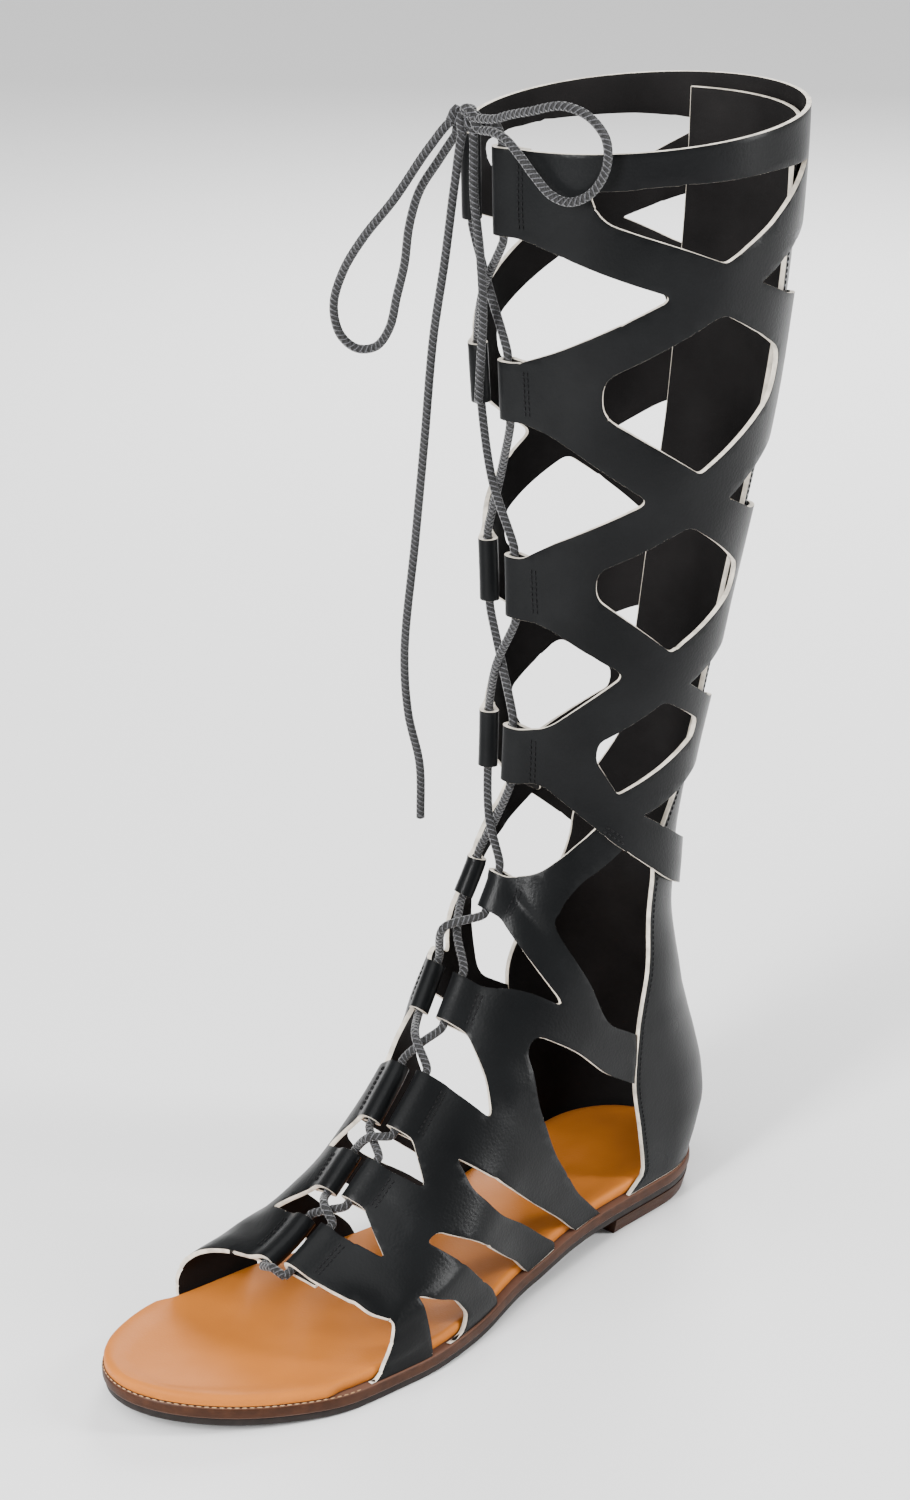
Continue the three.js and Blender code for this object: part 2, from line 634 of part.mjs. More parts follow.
// Lower edge of the leg straps from the last notch's point round the back
const LEG_HEM = [
  [0.531, 0.438, 9],
  [0.537, 0.522, 9],
  [0.547, 0.662, 9],
  [0.552, 0.850, 9],
];
// Front edge of the toe strap on the outer and inner side
const TOE_EDGE = [
  // share round, outer side, inner side
  [0.20, 0.980, 0.985],
  [0.34, 0.977, 0.990],
  [0.42, 0.970, 0.997],
  [0.55, 0.978, 1.004],
  [0.70, 0.988, 1.009],
  [1.00, 1.002, 1.016],
];

// Leg straps: one piece from lace edge to lace edge round the back
function legPiece() {
  const laceSide = [tabEnd(TABS[0][0]), ...NOTCHES.slice(0, LEG_TABS).flatMap((_, i) => (
    i < LEG_TABS - 1 ? [...notchUpper(i), ...notchLower(i)] : notchUpper(i)))];
  const half = (side) => rounded([...laceSide, ...LEG_HEM], side, false);
  const contour = [...half(1), ...half(-1).reverse()];
  const holes = [
    ...SIDES.map((side) => rounded(COLLAR_WINDOW, side)),
    ...SIDES.flatMap((side) => DIAMONDS.map((row) => diamond(row, side))),
    ...BACK_WINDOWS.map((row) => backWindow(row)),
  ];
  return laid(triangulated(contour, holes), 0, UNDERLAY, UNDERLAY + WALL);
}
// Foot straps of one side, from the lace edge down to the sole
function footPiece(side) {
  const last = NOTCHES.length;
  const laceSide = [tabEnd(TABS[LEG_TABS][0])];
  for (let i = LEG_TABS; i < last; i += 1) laceSide.push(...notchUpper(i), ...notchLower(i));
  const corners = [
    ...laceSide,
    tabEnd(TABS[last][1]),
    ...TOE_EDGE.map(([t, outer, inner]) => [side > 0 ? outer : inner, t, t < 1 ? 4 : 0]),
    ...FOOT_EDGES,
    [NOTCHES[LEG_TABS - 1][2], NOTCHES[LEG_TABS - 1][3], 0],
    ...notchLower(LEG_TABS - 1).slice(0, 2),
  ];
  return laid(triangulated(rounded(corners, side), []), side, 0, WALL);
}

// Folded tab that the lace runs through, and its bore
const BORE_RADIUS = TUNNEL_BORE / 2;
const TAB_RADIUS = BORE_RADIUS + TUNNEL_WALL;
const TAB_EDGE = TAB_RADIUS - 1.6;   // lace's middle behind the throat's edge
const BORE_RUNOUT = 5;
// place at a distance behind the throat's edge, with a depth from the wall's middle
function tabPlace(s, side, distance, rise) {
  const edge = throatEdge(s);
  const per = lastPoint(s, edge + 0.06, side).distanceTo(lastPoint(s, edge, side)) / 0.06;
  const base = (s < TABS[LEG_TABS - 1][1] + 0.02 ? UNDERLAY : 0) + WALL / 2;
  return skin(s, edge + distance / per, side, base + rise);
}
const alongUpper = (s) => lastPoint(s + 0.01, 0.05, 1).distanceTo(lastPoint(s - 0.01, 0.05, 1)) / 0.02;
const tabLoop = (s, side, profile) => profile.map(([w, d]) => tabPlace(s, side, w, d));
const ring = (radius, count, from, to) => Array.from({ length: count }, (_, i) => {
  const angle = from + ((to - from) * i) / (count - 1);
  return [TAB_EDGE + radius * Math.cos(angle), radius * Math.sin(angle)];
});
const TAB_SECTION = [
  ...ring(TAB_RADIUS, 5, Math.PI / 2, (3 * Math.PI) / 2),
  [TUNNEL_WIDTH, -WALL * 0.4],
  [TUNNEL_WIDTH, WALL * 0.4],
];
const BORE_SECTION = ring(BORE_RADIUS * 1.06, 7, 0, 2 * Math.PI).slice(0, 6);
function tabBody(row, side) {
  const margin = 0.8 / alongUpper(row[0]);
  return solid(facingOut(loft([row[0] + margin, row[1] - margin].map((s) => tabLoop(s, side, TAB_SECTION)))));
}
function tabBore(row, side) {
  const runout = BORE_RUNOUT / alongUpper(row[0]);
  const stations = [row[0] - runout, row[0], row[1], row[1] + runout];
  return solid(facingOut(loft(stations.map((s) => tabLoop(s, side, BORE_SECTION)))));
}

function upperBody() {
  let body = joined([legPiece(), ...SIDES.map((side) => footPiece(side))]);
  for (const side of SIDES) {
    TABS.forEach((row) => { body = body.add(tabBody(row, side)); });
    TABS.forEach((row) => { body = body.subtract(tabBore(row, side)); });
  }
  return body;
}

// Heel counter and back panel: one piece by level rings, under the leg straps and level with the foot's
const SEAM = 0.6;             // counter's edge behind the ankle strap's end
const PANEL_FRONT = 0.755;    // front edge of the panel up the leg, share round
const PANEL_TOP = 4;          // panel's top below the collar
const PANEL_SINK = 1.5;       // extra depth of the panel under the straps' flat facets
const PANEL_LEVELS = [0.14, 0.20, 0.28, 0.38, 0.50, 0.62, 0.74, 0.86, 1.00, 1.15, 1.32, 1.50, 1.70, 1.88];
const PANEL_COLUMNS = 6;
const SINK = [
  // level, share of the way down from the foot straps' depth to under the leg straps
  [0.00, 0],
  [0.60, 0],
  [0.86, 1],
  [2.10, 1],
];
const sinkShare = curve(SINK, 1);
const edgePlaces = COUNTER_EDGE.map(([s, t]) => profilePlace(s, t)).sort((a, b) => a.z - b.z)
  .map(({ x, z }) => [z, x]);
const counterEdge = curve(edgePlaces, 1);
function panelFront(z) {
  const level = levelOf(z);
  const depth = frontOf(level) - backOf(level);
  const share = clamp((frontOf(level) - counterEdge(z) + SEAM) / depth, 0, 1);
  const low = Math.acos(1 - 2 * share) / Math.PI;
  const top = edgePlaces[edgePlaces.length - 1][0];
  const blend = clamp((z - top) / (0.3 * INSTEP_HEIGHT), 0, 1);
  return low + (PANEL_FRONT - low) * blend * blend * (3 - 2 * blend);
}
function counterBody() {
  const highest = levelPoint(height(2), 1, 1).z - PANEL_TOP;
  const rows = [HEEL_TOP + GAP, ...PANEL_LEVELS.map(height), highest];
  const grid = (outer) => rows.map((z) => {
    const sunk = UNDERLAY - GAP - PANEL_SINK - PANEL_WALL;
    const low = sinkShare(levelOf(z)) * sunk;
    const depth = low + (outer ? PANEL_WALL : 0);
    const from = panelFront(z);
    const shares = Array.from({ length: PANEL_COLUMNS + 1 }, (_, k) => from + ((1 - from) * k) / PANEL_COLUMNS);
    const half = (side) => shares.map((t) => {
      const point = levelSkin(z, t, side, depth);
      point.z = z;
      return point;
    });
    return [...half(1), ...half(-1).reverse().slice(1)];
  });
  return facingOut(plate(grid(true), grid(false)));
}

// Sole pieces: sections across, one behind the other
const SOLE_STATIONS = 26;
function soleBody(from, to, sectionAt) {
  const stations = Array.from({ length: SOLE_STATIONS + 1 }, (_, i) => {
    const v = i / SOLE_STATIONS;
    const eased = 0.35 * v + 0.65 * (1 - Math.cos(Math.PI * v)) / 2;
    return from + (to - from) * eased;
  });
  return facingOut(loft(stations.map((x) => sectionAt(x).map(([y, z]) => new THREE.Vector3(x, y, z)))));
}
const TIP = 0.25;             // the rounded ends stop this short of their point
function slab(x, inset, low, high, lowInset = inset) {
  const top = outline(x, inset);
  const bottom = outline(x, lowInset);
  return [
    [bottom.middle - bottom.half, low], [bottom.middle + bottom.half, low],
    [top.middle + top.half, high], [top.middle - top.half, high],
  ];
}
const outsoleBody = () => soleBody(HEEL_X + OUTSOLE_INSET + TIP, TOE_X - OUTSOLE_INSET - TIP, (x) => (
  slab(x, OUTSOLE_INSET, ground(x), ground(x) + OUTSOLE - GAP)));
const midsoleBody = () => soleBody(HEEL_X + TIP, TOE_X - TIP, (x) => (
  slab(x, 0, ground(x) + OUTSOLE, feather(x))));
function heelBody() {
  const back = HEEL_X + OUTSOLE_INSET + HEEL_TAPER + TIP;
  const front = HEEL_X + HEEL_SEAT;
  return soleBody(back, front, (x) => (
    slab(x, OUTSOLE_INSET, 0, ground(x) - GAP, OUTSOLE_INSET + HEEL_TAPER)));
}
// The footbed stands inside the straps, and comes out to the sole's edge in front of the toe strap
const BED_CLEAR = 0.8;        // footbed inside the straps' flat facets
const strapInset = RIM + WALL + BED_CLEAR;
const toeStrapX = Math.max(...SIDES.map((side) => profilePlace(toeEdgeEnd(side), 1).x)) + WALL;
function toeEdgeEnd(side) {
  const end = TOE_EDGE[TOE_EDGE.length - 1];
  return side > 0 ? end[1] : end[2];
}
const STEP_OUT = 9;           // length over which the footbed widens
function footbedInset(x) {
  const share = clamp((x - toeStrapX) / STEP_OUT, 0, 1);
  return strapInset + (TOE_RIM - strapInset) * share * share * (3 - 2 * share);
}
const footbedBody = () => soleBody(HEEL_X + strapInset + TIP, TOE_X - TOE_RIM - TIP, (x) => {
  const { middle, half } = outline(x, footbedInset(x));
  const low = feather(x) + GAP;
  const high = low + FOOTBED;
  const r = Math.min(EDGE_ROUND, half * 0.5);
  return [
    [middle - half, low], [middle + half, low], [middle + half, high - r],
    [middle + half - r * 0.3, high - r * 0.3], [middle + half - r, high],
    [middle - half + r, high], [middle - half + r * 0.3, high - r * 0.3], [middle - half, high - r],
  ];
});

// Lace through the tabs: two strings that change sides between each pair of tabs and meet at the toe
const LACE_SIDES = 6;
const LACE_STEP = 2.4;        // straight run out of a tab
const CROSS_RISE = 1.3;       // one string passes over the other by twice this
const SLACK = [0, 0, 0, 0, 7, 2, 1, 1];   // how far each crossing stands off the leg
function tube(points, ups, radius, sides) {
  return facingOut(loft(points.map((p, i) => {
    const before = points[Math.max(i - 1, 0)];
    const after = points[Math.min(i + 1, points.length - 1)];
    const along = after.clone().sub(before).normalize();
    const across = ups[i].clone().cross(along).normalize();
    const up = along.clone().cross(across);
    return Array.from({ length: sides }, (_, k) => {
      const angle = (2 * Math.PI * (k + 0.5)) / sides;
      return p.clone().addScaledVector(across, radius * Math.cos(angle)).addScaledVector(up, radius * Math.sin(angle));
    });
  })));
}
function tabStation(s, side) {
  return { p: tabPlace(s, side, TAB_EDGE, 0), up: outward(s, 0.06, side) };
}
function tabStations(row, side) {
  const run = LACE_STEP / alongUpper(row[0]);
  return [row[0] - run, row[0], row[1], row[1] + run].map((s) => tabStation(s, side));
}
function crossing(from, to, lift) {
  const middle = from.p.clone().add(to.p).multiplyScalar(0.5);
  const up = from.up.clone().add(to.up).normalize();
  const s = (from.s + to.s) / 2;
  const line = lastPoint(s, 0, 1);
  const level = line.clone().sub(middle).dot(up) + UNDERLAY + WALL / 2;
  middle.addScaledVector(up, Math.max(level, 0) + lift);
  return [{ p: middle, up }];
}
function string(firstSide) {
  const stations = [];
  TABS.forEach((row, i) => {
    const side = i % 2 ? -firstSide : firstSide;
    stations.push(...tabStations(row, side));
    if (i + 1 === TABS.length) return;
    const from = { ...tabStations(row, side)[3], s: row[1] };
    const to = { ...tabStations(TABS[i + 1], -side)[0], s: TABS[i + 1][0] };
    stations.push(...crossing(from, to, firstSide * CROSS_RISE + SLACK[i] * (firstSide > 0 ? 1 : 0.35)));
  });
  return stations;
}
const across = turned(0, 1, height(2)).sub(turned(0, 0, height(2))).normalize();
const ahead = across.clone().cross(new THREE.Vector3(0, 0, 1)).normalize();
const laceLine = lastPoint(0, 0, 1);
const KNOT_OUT = 9;
const KNOT_SIDE = 5;
const KNOT_RISE = 5;
const KNOT_RADIUS = 5;
const knot = laceLine.clone().addScaledVector(ahead, KNOT_OUT).addScaledVector(across, KNOT_SIDE);
knot.z += KNOT_RISE;
function laceBody() {
  const strings = SIDES.map((side) => {
    const stations = string(side);
    // from the knot's side into the first tab
    const first = stations[0];
    const start = knot.clone().addScaledVector(first.p.clone().sub(knot).normalize(), KNOT_RADIUS + GAP + 0.7);
    const over = start.clone().lerp(first.p, 0.6);
    over.z = Math.max(start.z, first.p.z) + 1;
    return [{ p: start, up: ahead }, { p: over, up: ahead }, ...stations];
  });
  const tubes = strings.map((stations) => (
    solid(tube(stations.map((v) => v.p), stations.map((v) => v.up), LACE / 2, LACE_SIDES))));
  const ends = strings.map((stations) => stations[stations.length - 1]);
  const middle = ends[0].p.clone().add(ends[1].p).multiplyScalar(0.5).addScaledVector(ends[0].up, 2);
  const bar = [ends[0].p, ends[0].p.clone().lerp(middle, 0.5), middle, ends[1].p.clone().lerp(middle, 0.5), ends[1].p];
  tubes.push(solid(tube(bar, bar.map(() => ends[0].up), LACE / 2, LACE_SIDES)));
  return joined(tubes);
}

// Bow: free loops and ends, points from the knot. Hanging ones by distance aside, rise and distance out
const HANG_TURN = 37;         // degrees between the front and the plane in which they hang
const LEFT_LOOP = [
  [5.5, -1, 2.5], [14, -11, 3], [27, -30, 2.5], [39, -45, 1.5], [47, -58, 0], [51, -71, -1], [49, -82, -2],
  [43, -87, -2.5], [36, -86, -3], [31, -79, -3], [28, -67, -3], [25, -55, -3], [23, -41, -3], [19, -28, -3],
  [12, -17, -2.5], [4.5, -6, -1],
];
const LONG_END = [
  [2, -4.8, 2], [5, -24, 3], [9, -51, 2], [14, -81, 1], [18, -119, 0], [22, -157, 0], [27, -203, 0], [26, -227, 0],
  [22, -247, 0], [22, -269, 0],
];
const SHORT_END = [
  [-1.5, -4.8, 1], [-2, -27, 3], [-4, -49, 3], [-5, -69, 4], [-4, -87, 4], [-3, -103, 4],
];
// The loop that lies on the outer side: share round, rise from the collar, distance out
const RIGHT_LOOP = [
  [0.094, 6.5, 9.5], [0.130, 9, 8.5], [0.167, 11, 8.2], [0.228, 14, 8.2], [0.272, 11, 8.2],
  [0.300, 4, 8.2], [0.302, -2.5, 8.2], [0.289, -9, 8.2], [0.256, -16, 8.2], [0.222, -18, 8.2], [0.189, -14, 8.2],
  [0.156, -7.5, 8.2], [0.122, -1, 8.2], [0.085, 0.8, 8.6],
];
const hangAngle = THREE.MathUtils.degToRad(SHIN_TURN + HANG_TURN);
const aside = new THREE.Vector3(Math.cos(hangAngle), -Math.sin(hangAngle), 0);
const apart = new THREE.Vector3(Math.sin(hangAngle), Math.cos(hangAngle), 0);
const hanging = (rows) => rows.map(([a, rise, out]) => {
  const p = knot.clone().addScaledVector(aside, a).addScaledVector(apart, out);
  p.z += rise;
  return p;
});
const KNOT_SIDE_REACH = KNOT_RADIUS + GAP;   // where a strand leaves the knot sideways
const fromKnot = (rise, out) => {
  const p = knot.clone().addScaledVector(across, KNOT_SIDE_REACH).addScaledVector(ahead, out);
  p.z += rise;
  return p;
};
const lying = (rows) => [fromKnot(0.6, 0.6), ...rows.map(([t, rise, out]) => {
  const p = levelSkin(height(2), t, 1, out);
  p.z = height(2) + rise;
  return p;
}), fromKnot(-3.6, -1)];
const CORD_STEP = 9;
function cord(points) {
  const path = new THREE.CatmullRomCurve3(points, false, 'centripetal');
  const profile = new THREE.Shape();
  const sides = 8;
  for (let k = 0; k < sides; k += 1) {
    const angle = (2 * Math.PI * k) / sides;
    profile[k ? 'lineTo' : 'moveTo']((LACE / 2) * Math.cos(angle), (LACE / 2) * Math.sin(angle));
  }
  profile.closePath();
  const steps = Math.round(path.getLength() / CORD_STEP);
  return new THREE.ExtrudeGeometry(profile, { steps, extrudePath: path, bevelEnabled: false });
}
function knotBody() {
  const body = new THREE.SphereGeometry(KNOT_RADIUS, 10, 7);
  body.scale(0.8, 1, 0.85);
  body.rotateZ(-hangAngle + Math.PI / 2);
  body.translate(knot.x, knot.y, knot.z);
  return body;
}

const group = new THREE.Group();
function add(name, geometry, colour, roughness) {
  const material = new THREE.MeshStandardMaterial({ color: colour, roughness, metalness: 0 });
  const mesh = new THREE.Mesh(geometry, material);
  mesh.name = name;
  group.add(mesh);
}
add('upper', fromSolid(upperBody()), 0x17181a, 0.5);
add('heel_counter', counterBody(), 0x1a1b1d, 0.5);
add('outsole', outsoleBody(), 0x2a1d15, 0.8);
add('midsole', midsoleBody(), 0x5a4030, 0.7);
add('heel', heelBody(), 0x4a3426, 0.7);
add('footbed', footbedBody(), 0xc07f3e, 0.55);
add('lace', fromSolid(laceBody()), 0x2e2e30, 0.8);
add('lace_knot', knotBody(), 0x2e2e30, 0.8);
add('lace_loop_inner', cord(hanging(LEFT_LOOP)), 0x2e2e30, 0.8);
add('lace_loop_outer', cord(lying(RIGHT_LOOP)), 0x2e2e30, 0.8);
add('lace_end_long', cord(hanging(LONG_END)), 0x2e2e30, 0.8);
add('lace_end_short', cord(hanging(SHORT_END)), 0x2e2e30, 0.8);

export default group;
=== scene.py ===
# Gladiator sandal, left shoe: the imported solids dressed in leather, cord and sole layers.
import math

import bpy
import numpy as np
from mathutils import Matrix, Vector


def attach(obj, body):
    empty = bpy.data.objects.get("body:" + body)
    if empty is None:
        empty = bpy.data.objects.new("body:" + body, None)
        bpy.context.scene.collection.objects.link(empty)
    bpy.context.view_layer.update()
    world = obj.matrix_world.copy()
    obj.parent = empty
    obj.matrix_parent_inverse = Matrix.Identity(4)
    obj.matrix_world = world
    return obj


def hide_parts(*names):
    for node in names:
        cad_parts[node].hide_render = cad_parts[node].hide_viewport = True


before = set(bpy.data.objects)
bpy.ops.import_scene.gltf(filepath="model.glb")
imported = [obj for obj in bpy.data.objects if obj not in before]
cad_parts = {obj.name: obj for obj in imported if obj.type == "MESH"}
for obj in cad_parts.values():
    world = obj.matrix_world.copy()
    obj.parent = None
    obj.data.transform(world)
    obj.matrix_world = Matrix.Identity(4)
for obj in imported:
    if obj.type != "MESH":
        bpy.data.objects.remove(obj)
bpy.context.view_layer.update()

bl_info = {
    "name": "Gladiator sandal",
    "version": (1, 0, 0),
    "blender": (4, 5, 0),
    "location": "3D View > Sidebar > Sandal",
    "description": "Dresses the solids of a knee-high laced sandal in leather, cord and sole layers",
    "category": "Object",
}

MM = 0.001

# Sizes of the last, the sole and the leather in millimetres, as in the part's source
SOLE_LENGTH = 284.0
BALL_WIDTH = 96.0
HEEL_WIDTH = 65.0
HEEL_SHARE = 0.162
INSTEP_HEIGHT = 150.0
COLLAR_HEIGHT = 430.0
CALF_DEPTH = 119.0
CALF_WIDTH = 112.0
SHIN_TURN = 22.0
CREST_SHIFT = 4.0
HEEL_LIFT = 6.5
HEEL_SEAT = 66.0
OUTSOLE = 3.2
MIDSOLE = 4.3
FOOTBED = 4.4
TOE_SPRING = 6.0
OUTSOLE_INSET = 0.9
HEEL_TAPER = 1.6
RIM = 1.0
TOE_RIM = 0.8
WALL = 1.8
UNDERLAY = 0.9
LACE = 3.2
GAP = 0.3


def curve(rows, column):
    """Smooth curve through the rows of a table, without overshoot."""
    xs = np.array([row[0] for row in rows], float)
    ys = np.array([row[column] for row in rows], float)
    step = np.diff(xs)
    rise = np.diff(ys) / step
    slope = np.zeros_like(ys)
    slope[0] = rise[0]
    slope[-1] = rise[-1]
    for i in range(1, len(xs) - 1):
        if rise[i - 1] * rise[i] > 0:
            a = 2 * step[i] + step[i - 1]
            b = step[i] + 2 * step[i - 1]
            slope[i] = (a + b) / (a / rise[i - 1] + b / rise[i])

    def value(x):
        at = np.clip(np.asarray(x, float), xs[0], xs[-1])
        i = np.clip(np.searchsorted(xs, at, side="right") - 1, 0, len(xs) - 2)
        h = step[i]
        t = (at - xs[i]) / h
        return (
            (2 * t**3 - 3 * t**2 + 1) * ys[i]
            + (t**3 - 2 * t**2 + t) * h * slope[i]
            + (3 * t**2 - 2 * t**3) * ys[i + 1]
            + (t**3 - t**2) * h * slope[i + 1]
        )

    return value


def smooth(share):
    share = np.clip(share, 0, 1)
    return share * share * (3 - 2 * share)


def round_end(share):
    return np.sqrt(1 - (1 - np.clip(share, 0, 1)) ** 2)


# Plan outline of the sole: share of length, middle and half width as shares of the ball width
HEEL_HALF = HEEL_WIDTH / 2 / BALL_WIDTH
OUTLINE = [
    (0.00, 0.000, HEEL_HALF),
    (0.14, 0.005, HEEL_HALF),
    (0.28, 0.028, 0.325),
    (0.42, 0.058, 0.342),
    (0.56, 0.052, 0.432),
    (0.68, 0.014, 0.498),
    (0.78, -0.022, 0.500),
    (0.90, -0.078, 0.468),
    (1.00, -0.114, 0.448),
]
TOE_END = 0.218
HEEL_END = 0.127
sole_middle = curve(OUTLINE, 1)
sole_half = curve(OUTLINE, 2)
HEEL_X = -HEEL_SHARE * SOLE_LENGTH
TOE_X = HEEL_X + SOLE_LENGTH


def share_of(x):
    return (x - HEEL_X) / SOLE_LENGTH


def outline(x, inset):
    """Middle and half width of the sole's plan at x, drawn in by inset."""
    middle = sole_middle(share_of(x)) * BALL_WIDTH
    half = sole_half(share_of(x)) * BALL_WIDTH - inset
    front = round_end((TOE_X - inset - x) / (TOE_END * SOLE_LENGTH - inset))
    back = round_end((x - HEEL_X - inset) / (HEEL_END * SOLE_LENGTH - inset))
    return middle, half * front * back


# Underside of the outsole: share of length, heel lift's share, toe spring's share
UNDERSIDE = [
    (0.00, 1.00, 0.00),
    (0.25, 1.00, 0.00),
    (0.33, 0.92, 0.00),
    (0.45, 0.38, 0.00),
    (0.57, 0.00, 0.00),
    (0.75, 0.00, 0.00),
    (0.88, 0.00, 0.30),
    (1.00, 0.00, 1.00),
]
lift_share = curve(UNDERSIDE, 1)
spring_share = curve(UNDERSIDE, 2)
SOLE_STACK = OUTSOLE + MIDSOLE
HEEL_TOP = HEEL_LIFT + SOLE_STACK


def ground(x):
    return lift_share(share_of(x)) * HEEL_LIFT + spring_share(share_of(x)) * TOE_SPRING


def feather(x):
    return ground(x) + SOLE_STACK


def height(level):
    level = np.asarray(level, float)
    above = INSTEP_HEIGHT + (level - 1) * (COLLAR_HEIGHT - INSTEP_HEIGHT)
    return np.where(level < 1, level * INSTEP_HEIGHT, above)


def level_of(z):
    z = np.asarray(z, float)
    above = 1 + (z - INSTEP_HEIGHT) / (COLLAR_HEIGHT - INSTEP_HEIGHT)
    return np.where(z < INSTEP_HEIGHT, z / INSTEP_HEIGHT, above)


# Side profile and sections of the foot, then of the leg: level, front, back, half width, crest,
# share of the sole's outline that the section follows, front round, back round
FOOT = [
    (0.000, 0.831, -0.150, 0.321, 0.00, 1.00, 0.197, 0.120),
    (0.093, 0.817, -0.153, 0.321, 0.00, 1.00, 0.204, 0.118),
    (0.160, 0.768, -0.170, 0.321, 0.00, 1.00, 0.211, 0.123),
    (0.200, 0.690, -0.179, 0.321, 0.00, 0.98, 0.218, 0.127),
    (0.240, 0.602, -0.185, 0.321, 0.75, 0.94, 0.218, 0.127),
    (0.320, 0.525, -0.181, 0.321, 0.75, 0.86, 0.225, 0.127),
    (0.413, 0.461, -0.169, 0.321, 1.00, 0.74, 0.232, 0.127),
    (0.520, 0.394, -0.151, 0.321, 1.00, 0.56, 0.225, 0.127),
    (0.627, 0.327, -0.134, 0.313, 1.00, 0.32, 0.211, 0.127),
    (0.733, 0.268, -0.121, 0.304, 0.75, 0.12, 0.183, 0.134),
    (0.867, 0.211, -0.114, 0.295, 0.25, 0.00, 0.162, 0.155),
]
LEG = [
    (1.000, 0.395, -0.282, 0.286, 0, 0, 0.336, 0.336),
    (1.100, 0.328, -0.336, 0.281, 0, 0, 0.328, 0.328),
    (1.232, 0.294, -0.412, 0.326, 0, 0, 0.353, 0.353),
    (1.393, 0.269, -0.504, 0.379, 0, 0, 0.387, 0.387),
    (1.554, 0.261, -0.597, 0.438, 0, 0, 0.429, 0.429),
    (1.714, 0.269, -0.672, 0.482, 0, 0, 0.471, 0.471),
    (1.893, 0.277, -0.723, 0.500, 0, 0, 0.500, 0.500),
    (2.036, 0.277, -0.739, 0.500, 0, 0, 0.508, 0.508),
]


def sized(row, depth):
    return (
        row[0],
        row[1] * depth,
        row[2] * depth,
        row[3] * CALF_WIDTH,
        -row[4] * CREST_SHIFT,
        row[5],
        row[6] * depth,
        row[7] * depth,
    )


PROFILE = [sized(row, SOLE_LENGTH) for row in FOOT] + [sized(row, CALF_DEPTH) for row in LEG]
front_of, back_of, half_of, crest_of, outline_of, front_round_of, back_round_of = [
    curve(PROFILE, column) for column in range(1, 8)
]


def section(x, z):
    """Middle and half width of the last at a place in its side profile."""
    level = level_of(z)
    share = outline_of(level)
    plan_middle = sole_middle(share_of(x)) * BALL_WIDTH
    plan_half = sole_half(share_of(x)) * BALL_WIDTH - RIM - WALL
    front = round_end((front_of(level) - x) / front_round_of(level))
    back = round_end((x - back_of(level)) / back_round_of(level))
    middle = share * plan_middle + (1 - share) * crest_of(level)
    return middle, (share * plan_half + (1 - share) * half_of(level)) * front * back


# Turn of the lace line about the leg's middle: level, share of the turn
TURN = [
    (0.00, 0.00),
    (0.57, 0.00),
    (0.73, 0.27),
    (0.93, 0.68),
    (1.07, 0.77),
    (1.39, 0.91),
    (1.57, 1.00),
    (2.10, 1.00),
]
turn_share = curve(TURN, 1)


def turned(x, y, z):
    level = level_of(z)
    angle = -math.radians(SHIN_TURN) * turn_share(level)
    middle = (front_of(level) + back_of(level)) / 2
    dx = x - middle
    return np.stack(
        np.broadcast_arrays(
            middle + dx * np.cos(angle) - y * np.sin(angle),
            dx * np.sin(angle) + y * np.cos(angle),
            np.asarray(z, float),
        ),
        axis=-1,
    )


# Rings from the lace line to the back or the sole: share along the upper, level in front, level at
# the back, run forward on the sole as a share of its length
RINGS = [
    (0.00, 2.000, 2.025, 0.000),
    (0.12, 1.793, 1.807, 0.000),
    (0.24, 1.589, 1.582, 0.000),
    (0.36, 1.386, 1.350, 0.000),
    (0.47, 1.196, 1.125, 0.000),
    (0.55, 1.071, 0.880, 0.000),
    (0.62, 0.960, 0.533, 0.000),
    (0.68, 0.827, 0.213, 0.000),
    (0.74, 0.693, 0.093, 0.085),
    (0.80, 0.573, 0.093, 0.268),
    (0.87, 0.440, 0.093, 0.454),
    (0.94, 0.320, 0.093, 0.613),
    (1.00, 0.220, 0.093, 0.746),
    (1.04, 0.180, 0.093, 0.830),
]
ring_front = curve(RINGS, 1)
RUN = [
    (row[0], -row[3] * SOLE_LENGTH if row[3] > 0 else max(float(height(row[2])) - HEEL_TOP, 0.0))
    for row in RINGS
]
ring_run = curve(RUN, 1)


def profile_place(s, t):
    run = ring_run(s)
    front_level = ring_front(s)
    front_x = front_of(front_level)
    front_z = height(front_level)
    low_back = back_of(level_of(HEEL_TOP)) - run
    back_x = np.where(run > 0, back_of(level_of(HEEL_TOP + np.maximum(run, 0))), low_back)
    back_z = np.where(run > 0, HEEL_TOP + run, feather(back_x))
    g = (1 - np.cos(np.pi * np.clip(t, 0, 1))) / 2
    return front_x + (back_x - front_x) * g, front_z + (back_z - front_z) * g


def last_point(s, t, side):
    """Place on the last: s from collar to toe, t from the lace line round to the back or the sole."""
    s, t, side = np.broadcast_arrays(np.asarray(s, float), np.asarray(t, float), np.asarray(side, float))
    side = np.where(t > 1, -side, side)
    t = np.where(t > 1, 2 - t, t)
    x, z = profile_place(s, t)
    middle, half = section(x, z)
    return turned(x, middle + side * half, z)


def unit(v):
    return v / np.maximum(np.linalg.norm(v, axis=-1, keepdims=True), 1e-9)


def outward(s, t, side):
    s, t, side = np.broadcast_arrays(np.asarray(s, float), np.asarray(t, float), np.asarray(side, float))
    side = np.where(t > 1, -side, side)
    t = np.where(t > 1, 2 - t, t)
    e = 0.004
    at = np.clip(t, 0.02, np.where(ring_run(s) > 0, 0.98, 0.96))
    along = last_point(s + e, at, side) - last_point(s - e, at, side)
    around = last_point(s, at + e, side) - last_point(s, at - e, side)
    return unit(np.cross(along, around) * side[..., None])


def skin(s, t, side, depth):
    return last_point(s, t, side) + outward(s, t, side) * np.asarray(depth, float)[..., None]


